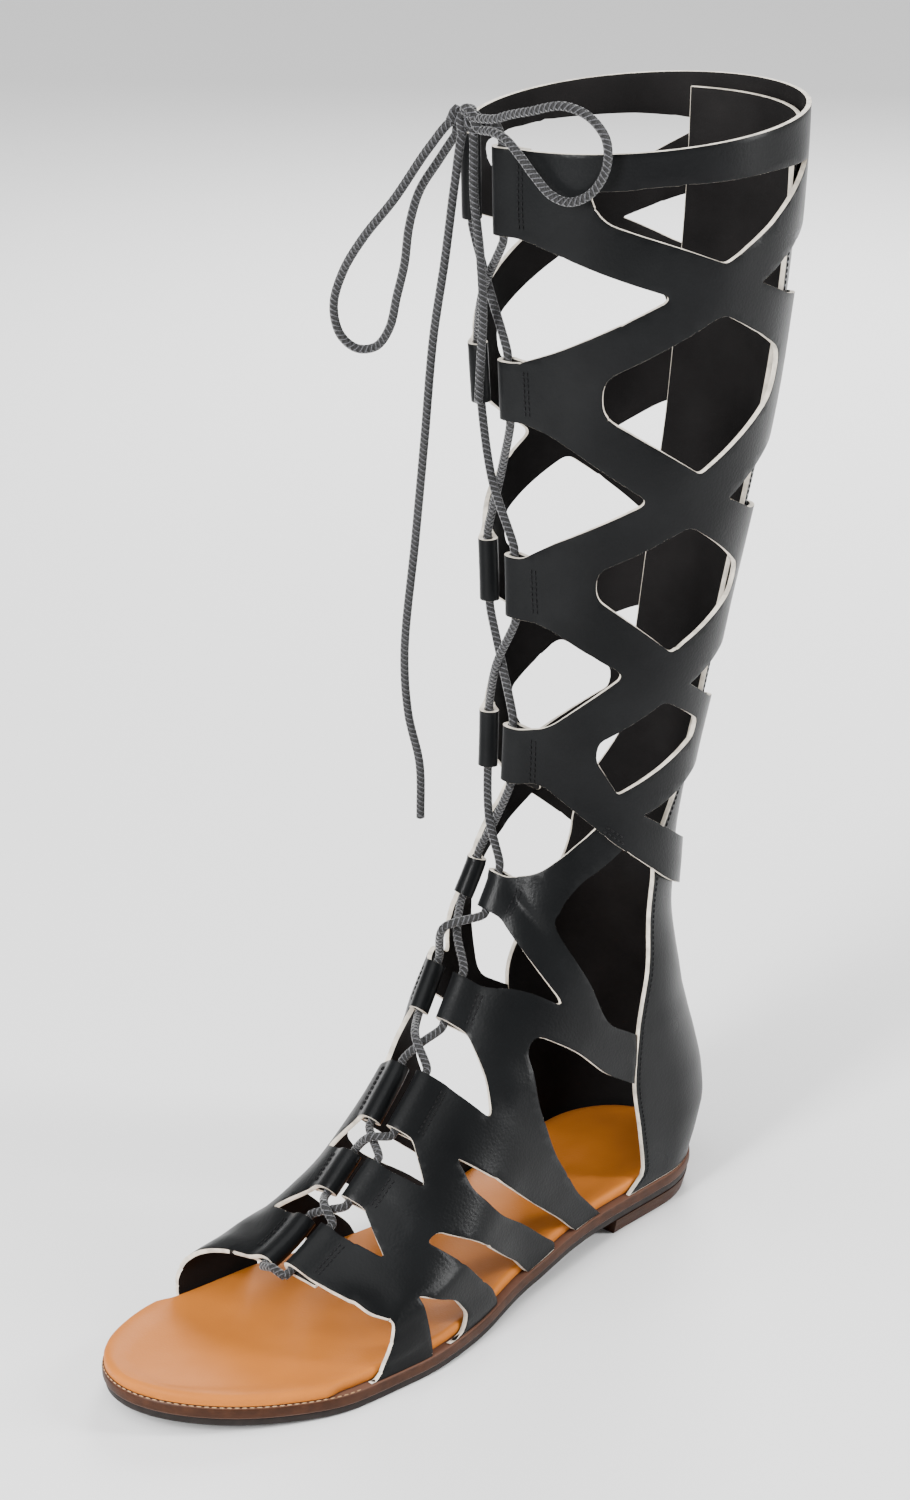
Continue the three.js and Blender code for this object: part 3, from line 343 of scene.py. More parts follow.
def level_point(z, t, side):
    level = level_of(z)
    g = (1 - np.cos(np.pi * np.clip(t, 0, 1))) / 2
    x = front_of(level) + (back_of(level) - front_of(level)) * g
    middle, half = section(x, z)
    return turned(x, middle + side * half, z)


def level_skin(z, t, side, depth):
    """The same surface by height: a level ring from the front line (0) to the back (1)."""
    z, t, side = np.broadcast_arrays(np.asarray(z, float), np.asarray(t, float), np.asarray(side, float))
    at = np.clip(t, 0.02, 0.98)
    up = level_point(z + 1, at, side) - level_point(z - 1, at, side)
    around = level_point(z, at + 0.01, side) - level_point(z, at - 0.01, side)
    normal = unit(np.cross(around, up) * side[..., None])
    across = unit(turned(0, 1, z) - turned(0, 0, z))
    flat = normal - across * np.sum(normal * across, axis=-1, keepdims=True)
    normal = np.where((t > 0.999)[..., None], unit(flat), normal)
    return level_point(z, t, side) + normal * np.asarray(depth, float)[..., None]


# Flat pattern, in millimetres: x runs along the upper, y round it, 0 at the back or the sole
PATTERN_LENGTH = 2 * float(np.linalg.norm(last_point(0, 0, 1) - last_point(0.5, 0, 1)))
PATTERN_ROUND = math.pi * CALF_WIDTH / 2

THROAT = [
    (0.00, 0.060),
    (0.50, 0.060),
    (0.62, 0.045),
    (0.76, 0.032),
    (1.04, 0.030),
]
throat_edge = curve(THROAT, 1)
TABS = [
    (0.010, 0.075),
    (0.171, 0.217),
    (0.326, 0.374),
    (0.461, 0.508),
    (0.589, 0.633),
    (0.697, 0.738),
    (0.786, 0.838),
    (0.871, 0.912),
    (0.942, 0.981),
]
LEG_TABS = 4

# Notches between the tabs: upper shoulder s and t, point s and t, lower shoulder s and t
NOTCHES = [
    (0.083, 0.200, 0.117, 0.430, 0.158, 0.200),
    (0.224, 0.200, 0.270, 0.415, 0.308, 0.200),
    (0.377, 0.200, 0.404, 0.405, 0.455, 0.200),
    (0.500, 0.200, 0.524, 0.384, 0.577, 0.200),
    (0.655, 0.195, 0.681, 0.286, 0.682, 0.195),
    (0.765, 0.190, 0.793, 0.264, 0.788, 0.140),
    (0.856, 0.180, 0.869, 0.228, 0.872, 0.090),
    (0.927, 0.190, 0.938, 0.276, 0.943, 0.095),
]

# Folded tab: lace's middle behind the throat's edge, radius of the leather's middle round the lace
TUNNEL_WIDTH = 12.0
FOLD_CENTRE = 2.05
FOLD_RADIUS = 2.75
FOLD_UNDER = 1.95


def fold_line():
    """The tab's section: distance behind the throat's edge and height, by length from the stitches."""
    share = np.linspace(0, 1, 30)
    top = np.stack([TUNNEL_WIDTH + (FOLD_CENTRE - TUNNEL_WIDTH) * share, FOLD_RADIUS * smooth(share)], axis=1)
    angle = np.linspace(math.pi / 2, 1.5 * math.pi, 24)[1:]
    bend = np.stack([FOLD_CENTRE + FOLD_RADIUS * np.cos(angle), FOLD_RADIUS * np.sin(angle)], axis=1)
    back = np.linspace(0, 1, 30)[1:]
    under = np.stack(
        [
            FOLD_CENTRE + (TUNNEL_WIDTH + 1.5 - FOLD_CENTRE) * back,
            -FOLD_RADIUS + (FOLD_RADIUS - FOLD_UNDER) * smooth(back),
        ],
        axis=1,
    )
    line = np.concatenate([top, bend, under])
    run = np.concatenate([[0], np.cumsum(np.linalg.norm(np.diff(line, axis=0), axis=1))])
    way = np.gradient(line, run, axis=0)
    way /= np.linalg.norm(way, axis=1, keepdims=True)
    return run, line, np.stack([way[:, 1], -way[:, 0]], axis=1)


FOLD_RUN, FOLD_PLACE, FOLD_NORMAL = fold_line()


def per_share(s):
    """Millimetres round the last for each unit of t, next to the throat."""
    edge = throat_edge(s)
    reach = last_point(s, edge + 0.06, 1) - last_point(s, edge, 1)
    return np.linalg.norm(reach, axis=-1) / 0.06


def fold_start(s):
    return throat_edge(s) + TUNNEL_WIDTH / per_share(s)


def tab_end(s):
    """Share round at which the leather of a tab ends when it is laid flat."""
    return float(fold_start(s) - FOLD_RUN[-1] / per_share(s))


# Creases and soft swells pressed into the leather by wear: side, place along and round the upper,
# direction in degrees from the upper's length, length, width and depth in millimetres
CREASES = [
    (1, 0.610, 0.150, 62, 34, 4.5, 0.9),
    (1, 0.628, 0.215, 50, 40, 5.0, 0.8),
    (1, 0.652, 0.300, 42, 30, 4.5, -0.7),
    (1, 0.668, 0.400, 85, 34, 5.0, 0.7),
    (1, 0.742, 0.150, 70, 30, 5.0, 0.8),
    (1, 0.752, 0.215, 58, 34, 4.0, -0.7),
    (1, 0.775, 0.330, 78, 40, 6.0, 0.8),
    (1, 0.836, 0.180, 86, 26, 4.0, 0.6),
    (1, 0.900, 0.200, 80, 24, 4.0, 0.6),
    (1, 0.962, 0.300, 86, 40, 5.0, 0.8),
    (1, 0.968, 0.620, 88, 34, 5.0, -0.6),
    (-1, 0.612, 0.160, 60, 34, 4.5, 0.8),
    (-1, 0.650, 0.300, 44, 32, 4.5, -0.7),
    (-1, 0.745, 0.150, 70, 30, 5.0, 0.8),
    (-1, 0.775, 0.330, 78, 40, 6.0, 0.7),
    (-1, 0.962, 0.300, 86, 40, 5.0, 0.8),
    (1, 0.090, 0.170, 30, 30, 5.0, 0.6),
    (1, 0.232, 0.190, 35, 32, 5.0, 0.6),
    (1, 0.392, 0.190, 35, 32, 5.0, 0.6),
    (1, 0.545, 0.320, 28, 40, 5.0, 0.7),
    (-1, 0.232, 0.190, 35, 32, 5.0, 0.6),
    (-1, 0.392, 0.190, 35, 32, 5.0, 0.6),
    (-1, 0.545, 0.320, 28, 40, 5.0, 0.7),
]


def worn(s, t, side):
    """Depth in millimetres that wear and tension add to the leather at a place."""
    x = s * PATTERN_LENGTH
    y = t * PATTERN_ROUND
    depth = 0.16 * np.sin(x / 17 + 1.3 * np.sin(y / 23 + side)) * np.sin(y / 19 + 0.7 * side)
    depth = depth + 0.10 * np.sin(x / 7.3 + y / 9.1 + 2 * side)
    for which, cs, ct, angle, length, width, low in CREASES:
        turn = math.radians(angle)
        dx = x - cs * PATTERN_LENGTH
        dy = y - ct * PATTERN_ROUND
        along = dx * math.cos(turn) + dy * math.sin(turn)
        across = dy * math.cos(turn) - dx * math.sin(turn) + 0.02 * along * along / 3
        press = np.exp(-((across / width) ** 2)) * np.exp(-((along / (length / 2)) ** 4))
        depth = depth - low * press * (side == which)
    return depth


def rounded(corners, side, closed=True):
    """Outline in the flat pattern from corners of s, t and a rounding in millimetres."""
    points = [np.array([s * PATTERN_LENGTH, side * (1 - t) * PATTERN_ROUND]) for s, t, _ in corners]
    line = []
    for i, (_, _, r) in enumerate(corners):
        p = points[i]
        if not r or (not closed and i in (0, len(corners) - 1)):
            line.append(p)
            continue
        before = points[i - 1] - p
        after = points[(i + 1) % len(points)] - p
        reach = min(r, np.linalg.norm(before) * 0.46, np.linalg.norm(after) * 0.46)
        start = p + before / np.linalg.norm(before) * reach
        end = p + after / np.linalg.norm(after) * reach
        bends = 3 if reach < 4 else 6
        for k in range(bends + 1):
            v = k / bends
            line.append(start * (1 - v) ** 2 + p * 2 * v * (1 - v) + end * v * v)
    return line


NOTCH_ROUND = (3, 9, 5)


def tab_corner(s):
    return (s, tab_end(s), 1.2)


def notch_upper(index):
    us, ut, ps, pt = NOTCHES[index][:4]
    end = TABS[index][1]
    return [tab_corner(end), (end, 0.11, NOTCH_ROUND[0]), (us, ut, NOTCH_ROUND[1]), (ps, pt, NOTCH_ROUND[2])]


def notch_lower(index):
    ls, lt = NOTCHES[index][4:]
    start = TABS[index + 1][0]
    return [(ls, lt, NOTCH_ROUND[1]), (start, min(0.11, lt * 0.8), NOTCH_ROUND[0]), tab_corner(start)]


# Diamonds: top s and t, front upper s, front lower s, front t, bottom s and t, rear upper s, lower s, t
DIAMONDS = [
    (0.134, 0.532, 0.176, 0.204, 0.298, 0.252, 0.525, 0.176, 0.206, 0.732),
    (0.291, 0.520, 0.326, 0.347, 0.308, 0.387, 0.525, 0.332, 0.350, 0.742),
    (0.423, 0.532, 0.457, 0.471, 0.356, 0.495, 0.440, 0.440, 0.452, 0.696),
]
# Back windows: point s and t, upper s at the panel's edge and the back, lower s at both
BACK_WINDOWS = [
    (0.118, 0.622, 0.102, 0.080, 0.137, 0.155),
    (0.275, 0.622, 0.252, 0.228, 0.291, 0.303),
    (0.412, 0.615, 0.396, 0.378, 0.426, 0.437),
    (0.507, 0.538, 0.480, 0.464, 0.519, 0.528),
]
COLLAR_WINDOW = [
    (0.037, 0.264, 5),
    (0.036, 0.440, 0),
    (0.040, 0.640, 0),
    (0.046, 0.800, 2),
    (0.081, 0.625, 0),
    (0.098, 0.532, 2),
    (0.080, 0.430, 9),
    (0.059, 0.290, 7),
]
COUNTER_EDGE = [
    (0.549, 0.615),
    (0.617, 0.530),
    (0.676, 0.483),
    (0.704, 0.520),
    (0.737, 0.652),
    (0.758, 0.806),
    (0.778, 1.000),
]
FOOT_EDGES = [
    (0.957, 1.000, 0), (0.952, 0.682, 9), (0.945, 0.420, 3), (0.920, 0.585, 7), (0.917, 0.720, 5),
    (0.928, 0.900, 3), (0.941, 1.000, 0),
    (0.892, 1.000, 0), (0.888, 0.729, 9), (0.896, 0.512, 9), (0.905, 0.330, 3), (0.892, 0.335, 3),
    (0.874, 0.478, 9), (0.860, 0.746, 6), (0.858, 1.000, 0),
    (0.836, 1.000, 0), (0.832, 0.849, 6), (0.838, 0.629, 9), (0.848, 0.475, 9), (0.847, 0.340, 5),
    (0.833, 0.250, 2), (0.826, 0.482, 9), (0.818, 0.742, 6), (0.816, 1.000, 0),
    (0.797, 1.000, 0), (0.797, 0.850, 6), (0.796, 0.682, 9), (0.786, 0.495, 9), (0.762, 0.330, 9),
    (0.731, 0.238, 4), (0.713, 0.240, 5), (0.709, 0.338, 9), (0.711, 0.441, 4), (0.704, 0.520, 0),
    (0.676, 0.483, 0), (0.680, 0.392, 5), (0.655, 0.340, 9), (0.628, 0.278, 8), (0.611, 0.250, 6),
    (0.591, 0.278, 8), (0.567, 0.341, 9), (0.537, 0.458, 0), (0.527, 0.497, 0), (0.505, 0.490, 3),
    (0.503, 0.410, 3),
]
LEG_HEM = [
    (0.531, 0.438, 9),
    (0.537, 0.522, 9),
    (0.547, 0.662, 9),
    (0.552, 0.850, 9),
]
# Front edge of the toe strap: share round, outer side, inner side
TOE_EDGE = [
    (0.20, 0.980, 0.985),
    (0.34, 0.977, 0.990),
    (0.42, 0.970, 0.997),
    (0.55, 0.978, 1.004),
    (0.70, 0.988, 1.009),
    (1.00, 1.002, 1.016),
]


def leg_outlines():
    lace_side = [tab_corner(TABS[0][0])]
    for i in range(LEG_TABS):
        lace_side += notch_upper(i)
        if i < LEG_TABS - 1:
            lace_side += notch_lower(i)
    right = rounded(lace_side + LEG_HEM, 1, closed=False)
    left = rounded(lace_side + LEG_HEM, -1, closed=False)
    holes = [rounded(COLLAR_WINDOW, side) for side in (1, -1)]
    for ts, tt, fu, fl, ft, bs, bt, ru, rl, rt in DIAMONDS:
        row = [(ts, tt, 4), (fu, ft, 6), (fl, ft, 6), (bs, bt, 2), (rl, rt, 7), (ru, rt, 7)]
        holes += [rounded(row, side) for side in (1, -1)]
    for ps, pt, us, ub, ls, lb in BACK_WINDOWS:
        row = [
            (ps, pt, 1), (ls, 0.74, 6), (lb, 0.96, 8), (lb, 1.04, 8), (ls, 1.26, 6),
            (ps, 2 - pt, 1), (us, 1.26, 6), (ub, 1.04, 8), (ub, 0.96, 8), (us, 0.74, 6),
        ]
        holes.append(rounded(row, 1))
    return [right + left[::-1]] + holes


def foot_outlines(side):
    lace_side = [tab_corner(TABS[LEG_TABS][0])]
    for i in range(LEG_TABS, len(NOTCHES)):
        lace_side += notch_upper(i) + notch_lower(i)
    corners = lace_side + [tab_corner(TABS[-1][1])]
    corners += [(outer if side > 0 else inner, t, 4 if t < 1 else 0) for t, outer, inner in TOE_EDGE]
    corners += FOOT_EDGES
    corners += [(NOTCHES[LEG_TABS - 1][2], NOTCHES[LEG_TABS - 1][3], 0)]
    corners += notch_lower(LEG_TABS - 1)[:2]
    return [rounded(corners, side)]


def lay(x, y, which, base, depth):
    """A place of the flat pattern laid on the last, with the tabs folded round the lace."""
    s = x / PATTERN_LENGTH
    round_share = y / PATTERN_ROUND
    side = np.where(round_share >= 0, 1.0, -1.0) if which == 0 else np.full_like(x, float(which))
    t = 1 - round_share * side
    run = (fold_start(s) - t) * per_share(s)
    folded = run > 0
    wear = worn(s, t, side) * np.where(folded, np.clip(1 - run / 8, 0, 1), 1)
    flat_point = skin(s, t, side, base + depth + wear)
    if which != 0:
        sole_edge = (ring_run(s) <= 0) & (t > 0.999)
        flat_point[sole_edge, 2] = feather(flat_point[sole_edge, 0]) + GAP
    at = np.clip(run, 0, FOLD_RUN[-1])
    w = np.interp(at, FOLD_RUN, FOLD_PLACE[:, 0]) + np.interp(at, FOLD_RUN, FOLD_NORMAL[:, 0]) * depth
    d = np.interp(at, FOLD_RUN, FOLD_PLACE[:, 1]) + np.interp(at, FOLD_RUN, FOLD_NORMAL[:, 1]) * depth
    edge = throat_edge(s)
    fold_point = skin(s, np.maximum(edge + w / per_share(s), 0.002), side, base + d + wear)
    return np.where(folded[:, None], fold_point, flat_point)


def fresh():
    """Leave edit mode with nothing selected, so that an operator acts on the next piece alone."""
    if bpy.context.object and bpy.context.object.mode != "OBJECT":
        bpy.ops.object.mode_set(mode="OBJECT")
    bpy.ops.object.select_all(action="DESELECT")


def active(piece):
    fresh()
    piece.select_set(True)
    bpy.context.view_layer.objects.active = piece


def coordinates(mesh):
    flat = np.empty(len(mesh.vertices) * 3)
    mesh.vertices.foreach_get("co", flat)
    return flat.reshape(-1, 3)


def reshape(piece, points):
    """Move every vertex of the piece to its place, given in millimetres."""
    piece.data.vertices.foreach_set("co", (np.asarray(points) * MM).ravel())
    piece.data.update()


def finished(piece, nodes, slot, *materials):
    """Give a piece its finish and its place in the frame."""
    for material in materials:
        piece.data.materials.append(material)
    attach(piece, "root")
    if nodes:
        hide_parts(*nodes)
    fresh()
    return piece


SHEET_STEP = 3.4        # between cuts across a flat sheet
FOLD_STEP = 1.25        # between cuts across a tab's fold
WELD_OUTLINE = 0.05     # outline points nearer than this are one
WELD_CUTS = 0.45        # points of the cuts nearer than this are one


def cut_sheet(name, outlines):
    """A flat sheet of leather: the pattern's outlines filled."""
    line = bpy.data.curves.new(name, "CURVE")
    line.dimensions = "2D"
    line.fill_mode = "FRONT"
    for points in outlines:
        spline = line.splines.new("POLY")
        spline.points.add(len(points) - 1)
        flat = np.zeros((len(points), 4))
        flat[:, :2] = np.array(points) * MM
        flat[:, 3] = 1
        spline.points.foreach_set("co", flat.ravel())
        spline.use_cyclic_u = True
    piece = bpy.data.objects.new(name, line)
    bpy.context.scene.collection.objects.link(piece)
    active(piece)
    bpy.ops.object.convert(target="MESH")
    piece = bpy.context.object
    bpy.ops.object.mode_set(mode="EDIT")
    bpy.ops.mesh.select_all(action="SELECT")
    bpy.ops.mesh.remove_doubles(threshold=WELD_OUTLINE * MM)
    bpy.ops.mesh.dissolve_limited(angle_limit=math.radians(1))
    return piece


def cut_lines(places, normal):
    """Cuts right across the sheet, where it will bend."""
    for place in places:
        bpy.ops.mesh.select_all(action="SELECT")
        point = [place * MM * n for n in normal]
        bpy.ops.mesh.bisect(plane_co=point, plane_no=normal)


def thicken(piece, wall, bevel, materials):
    """Give a laid sheet its wall, its cut edge and a small round along it."""
    for material in materials:
        piece.data.materials.append(material)
    active(piece)
    shell = piece.modifiers.new("Wall", "SOLIDIFY")
    shell.thickness = wall * MM
    shell.offset = 0
    shell.use_rim = True
    shell.material_offset = 1
    shell.material_offset_rim = 2
    bpy.ops.object.modifier_apply(modifier=shell.name)
    if bevel:
        edge = piece.modifiers.new("Edge", "BEVEL")
        edge.width = bevel * MM
        edge.segments = 2
        edge.material = 2
        edge.limit_method = "ANGLE"
        edge.angle_limit = math.radians(55)
        edge.use_clamp_overlap = True
        bpy.ops.object.modifier_apply(modifier=edge.name)
    bpy.ops.object.shade_smooth_by_angle(angle=math.radians(42))


def leather_sheet(name, outlines, which, base, wall, bevel, materials):
    piece = cut_sheet(name, outlines)
    points = np.concatenate([np.array(points) for points in outlines])
    low = points.min(axis=0)
    high = points.max(axis=0)
    along = np.arange(low[0] + 2, high[0] - 1, SHEET_STEP)
    cut_lines(along, (1, 0, 0))
    around = np.arange(low[1] + 2, high[1] - 1, SHEET_STEP)
    cut_lines(around, (0, 1, 0))
    for side in (1, -1) if which == 0 else (which,):
        s = np.linspace(low[0], high[0], 40) / PATTERN_LENGTH
        start = float(np.min(1 - fold_start(s))) * PATTERN_ROUND
        fold = np.arange(start, max(abs(low[1]), abs(high[1])), FOLD_STEP)
        cut_lines(fold * side, (0, 1, 0))
    bpy.ops.mesh.select_all(action="SELECT")
    bpy.ops.mesh.remove_doubles(threshold=WELD_CUTS * MM)
    bpy.ops.object.mode_set(mode="OBJECT")
    flat = coordinates(piece.data) / MM
    reshape(piece, lay(flat[:, 0], flat[:, 1], which, base, np.zeros(len(flat))))
    flip_outwards(piece, flat, which, base)
    thicken(piece, wall, bevel, materials)
    return piece


def flip_outwards(piece, flat, which, base):
    """Turn the sheet over if its faces look into the leg."""
    mesh = piece.data
    normals = np.empty(len(mesh.vertices) * 3)
    mesh.vertices.foreach_get("normal", normals)
    normals = normals.reshape(-1, 3)
    lifted = lay(flat[:, 0], flat[:, 1], which, base, np.full(len(flat), 0.5))
    laid = lay(flat[:, 0], flat[:, 1], which, base, np.zeros(len(flat)))
    if np.sum(normals * (lifted - laid)) < 0:
        active(piece)
        bpy.ops.object.mode_set(mode="EDIT")
        bpy.ops.mesh.select_all(action="SELECT")
        bpy.ops.mesh.flip_normals()
        bpy.ops.object.mode_set(mode="OBJECT")


# Heel counter and back panel, by level rings
SEAM = 0.6
PANEL_FRONT = 0.755
PANEL_TOP = 4.0
PANEL_UNDER = 3.0
SINK = [(0.00, 0), (0.60, 0), (0.86, 1), (2.10, 1)]
sink_share = curve(SINK, 1)
EDGE_PLACES = sorted((float(z), float(x)) for x, z in (profile_place(s, t) for s, t in COUNTER_EDGE))
counter_edge = curve(EDGE_PLACES, 1)


def panel_front(z):
    """Share round the last at which the counter and the panel above it begin."""
    level = level_of(z)
    depth = front_of(level) - back_of(level)
    share = np.clip((front_of(level) - counter_edge(z) + SEAM) / depth, 0, 1)
    low = np.arccos(1 - 2 * share) / np.pi
    blend = smooth((z - EDGE_PLACES[-1][0]) / (0.3 * INSTEP_HEIGHT))
    return low + (PANEL_FRONT - low) * blend


def panel_depth(z):
    return WALL / 2 + 0.25 - sink_share(level_of(z)) * (WALL / 2 + 0.25 + PANEL_UNDER - UNDERLAY - WALL / 2)


# Lace through the tabs
LACE_STEP = 2.4
CROSS_RISE = 1.3
SLACK = (0, 0, 0, 0, 7, 2, 1, 1)
KNOT_OUT = 9.0
KNOT_SIDE = 5.0
KNOT_RISE = 5.0
KNOT_RADIUS = 5.0
ACROSS = unit(turned(0, 1, COLLAR_HEIGHT) - turned(0, 0, COLLAR_HEIGHT))
AHEAD = unit(np.cross(ACROSS, [0, 0, 1]))
KNOT = last_point(0, 0, 1) + AHEAD * KNOT_OUT + ACROSS * KNOT_SIDE + np.array([0, 0, KNOT_RISE])


def tab_place(s, side, distance, rise):
    base = (UNDERLAY if s < TABS[LEG_TABS - 1][1] + 0.02 else 0) + WALL / 2
    return skin(s, throat_edge(s) + distance / per_share(s), side, base + rise)


def along_upper(s):
    return float(np.linalg.norm(last_point(s + 0.01, 0.05, 1) - last_point(s - 0.01, 0.05, 1)) / 0.02)


def tab_stations(row, side):
    run = LACE_STEP / along_upper(row[0])
    places = (row[0] - run, row[0], row[1], row[1] + run)
    return [(tab_place(s, side, FOLD_CENTRE, 0), outward(s, 0.06, side)) for s in places]


def lace_route(first_side):
    """One string from the knot down through the tabs, changing sides between each pair."""
    route = []
    for i, row in enumerate(TABS):
        side = -first_side if i % 2 else first_side
        stations = tab_stations(row, side)
        route += [p for p, _ in stations]
        if i + 1 == len(TABS):
            break
        following = tab_stations(TABS[i + 1], -side)
        p0, up0 = stations[3]
        p1, up1 = following[0]
        middle = (p0 + p1) / 2
        up = unit(up0 + up1)
        line = last_point((row[1] + TABS[i + 1][0]) / 2, 0, 1)
        level = float(np.dot(line - middle, up)) + UNDERLAY + WALL / 2
        lift = first_side * CROSS_RISE + SLACK[i] * (1 if first_side > 0 else 0.35)
        route.append(middle + up * (max(level, 0) + lift))
    start = KNOT + unit(route[0] - KNOT) * (KNOT_RADIUS + GAP)
    over = start + (route[0] - start) * 0.6
    over[2] = max(start[2], route[0][2]) + 1
    return [start, over] + route


# Bow: points from the knot. Hanging ones by distance aside, rise and distance out
HANG_TURN = 37.0
LEFT_LOOP = [
    (5.5, -1, 2.5), (14, -11, 3), (27, -30, 2.5), (39, -45, 1.5), (47, -58, 0), (51, -71, -1), (49, -82, -2),
    (43, -87, -2.5), (36, -86, -3), (31, -79, -3), (28, -67, -3), (25, -55, -3), (23, -41, -3), (19, -28, -3),
    (12, -17, -2.5), (4.5, -6, -1),
]
LONG_END = [
    (2, -4.8, 2), (5, -24, 3), (9, -51, 2), (14, -81, 1), (18, -119, 0), (22, -157, 0), (27, -203, 0),
    (26, -227, 0), (22, -247, 0), (22, -269, 0),
]
SHORT_END = [
    (-1.5, -4.8, 1), (-2, -27, 3), (-4, -49, 3), (-5, -69, 4), (-4, -87, 4), (-3, -103, 4),
]
# The loop that lies on the outer side: share round, rise from the collar, distance out
RIGHT_LOOP = [
    (0.094, 6.5, 9.5), (0.130, 9, 8.5), (0.167, 11, 8.2), (0.228, 14, 8.2), (0.272, 11, 8.2),
    (0.300, 4, 8.2), (0.305, -3, 8.2), (0.297, -10, 8.2), (0.274, -16.5, 8.2), (0.240, -19.5, 8.2),
    (0.207, -17.5, 8.2), (0.176, -11.5, 8.2), (0.146, -5, 8.2), (0.115, 0, 8.2), (0.085, 1.5, 8.4),
]
HANG_ANGLE = math.radians(SHIN_TURN + HANG_TURN)
ASIDE = np.array([math.cos(HANG_ANGLE), -math.sin(HANG_ANGLE), 0])
APART = np.array([math.sin(HANG_ANGLE), math.cos(HANG_ANGLE), 0])


def hanging(rows):
    return [KNOT + ASIDE * a + APART * out + np.array([0, 0, rise]) for a, rise, out in rows]


def from_knot(rise, out):
    return KNOT + ACROSS * (KNOT_RADIUS + GAP) + AHEAD * out + np.array([0, 0, rise])


def lying(rows):
    points = []
    for t, rise, out in rows:
        point = level_skin(COLLAR_HEIGHT, t, 1, out)
        point[2] = COLLAR_HEIGHT + rise
        points.append(point)
    return [from_knot(0.6, 0.6)] + points + [from_knot(-3.6, -1)]


def smooth_path(points, step):
    """Points every step millimetres on the smooth curve through the given ones."""
    p = np.array(points, float)
    p = np.vstack([2 * p[0] - p[1], p, 2 * p[-1] - p[-2]])
    line = []
    for i in range(1, len(p) - 2):
        d0, d1, d2 = (max(np.linalg.norm(p[i + k] - p[i + k - 1]) ** 0.5, 1e-4) for k in (0, 1, 2))
        t1 = ((p[i] - p[i - 1]) / d0 - (p[i + 1] - p[i - 1]) / (d0 + d1) + (p[i + 1] - p[i]) / d1) * d1
        t2 = ((p[i + 1] - p[i]) / d1 - (p[i + 2] - p[i]) / (d1 + d2) + (p[i + 2] - p[i + 1]) / d2) * d1
        u = np.linspace(0, 1, 40, endpoint=i == len(p) - 3)[:, None]
        line.append(
            (2 * u**3 - 3 * u**2 + 1) * p[i] + (u**3 - 2 * u**2 + u) * t1
            + (3 * u**2 - 2 * u**3) * p[i + 1] + (u**3 - u**2) * t2
        )
    line = np.concatenate(line)
    run = np.concatenate([[0], np.cumsum(np.linalg.norm(np.diff(line, axis=0), axis=1))])
    count = max(int(round(run[-1] / step)), 2)
    at = np.linspace(0, run[-1], count + 1)
    return np.stack([np.interp(at, run, line[:, k]) for k in range(3)], axis=1)


def frames_along(path):
    """A sideways and an upward direction at each point, turning no more than the path does."""
    way = unit(np.gradient(path, axis=0))
    side = np.zeros_like(path)
    start = np.cross(way[0], [0, 0, 1])
    if np.linalg.norm(start) < 0.1:
        start = np.cross(way[0], [0, 1, 0])
    side[0] = unit(start)
    for i in range(1, len(path)):
        v = side[i - 1] - way[i] * np.dot(side[i - 1], way[i])
        side[i] = unit(v)
    return side, np.cross(way, side), way


def tube(name, paths, radius, sides=14):
    """Round cord along each path, in one mesh, with its length and girth in the UV map."""
    points = []
    faces = []
    coords = []
    for path in paths:
        side, up, way = frames_along(path)
        run = np.concatenate([[0], np.cumsum(np.linalg.norm(np.diff(path, axis=0), axis=1))])
        rings = [(path[0] - way[0] * radius * 0.25, 0, radius * 0.55, run[0])]
        rings += [(path[i], i, radius, run[i]) for i in range(len(path))]
        rings += [(path[-1] + way[-1] * radius * 0.25, len(path) - 1, radius * 0.55, run[-1])]
        first = len(points)
        for centre, i, r, _ in rings:
            for k in range(sides):
                angle = 2 * math.pi * k / sides
                points.append(centre + side[i] * r * math.cos(angle) + up[i] * r * math.sin(angle))
        for j in range(len(rings) - 1):
            for k in range(sides):
                n = (k + 1) % sides
                a = first + j * sides
                faces.append((a + k, a + n, a + sides + n, a + sides + k))
                u0 = rings[j][3] / (2 * math.pi * radius)
                u1 = rings[j + 1][3] / (2 * math.pi * radius)
                v0 = k / sides
                v1 = (k + 1) / sides
                coords += [(u0, v0), (u0, v1), (u1, v1), (u1, v0)]
        for j, backwards in ((0, True), (len(rings) - 1, False)):
            loop = [first + j * sides + k for k in range(sides)]
            faces.append(tuple(loop[::-1] if backwards else loop))
            coords += [(rings[j][3] / (2 * math.pi * radius), 0.5)] * sides
    mesh = bpy.data.meshes.new(name)
    mesh.from_pydata((np.array(points) * MM).tolist(), [], faces)
    layer = mesh.uv_layers.new(name="Braid")
    layer.data.foreach_set("uv", np.array(coords).ravel())
    mesh.update()
    piece = bpy.data.objects.new(name, mesh)
    bpy.context.scene.collection.objects.link(piece)
    active(piece)
    bpy.ops.object.mode_set(mode="EDIT")
    bpy.ops.mesh.select_all(action="SELECT")
    bpy.ops.mesh.normals_make_consistent(inside=False)
    bpy.ops.object.mode_set(mode="OBJECT")
    bpy.ops.object.shade_smooth()
    return piece


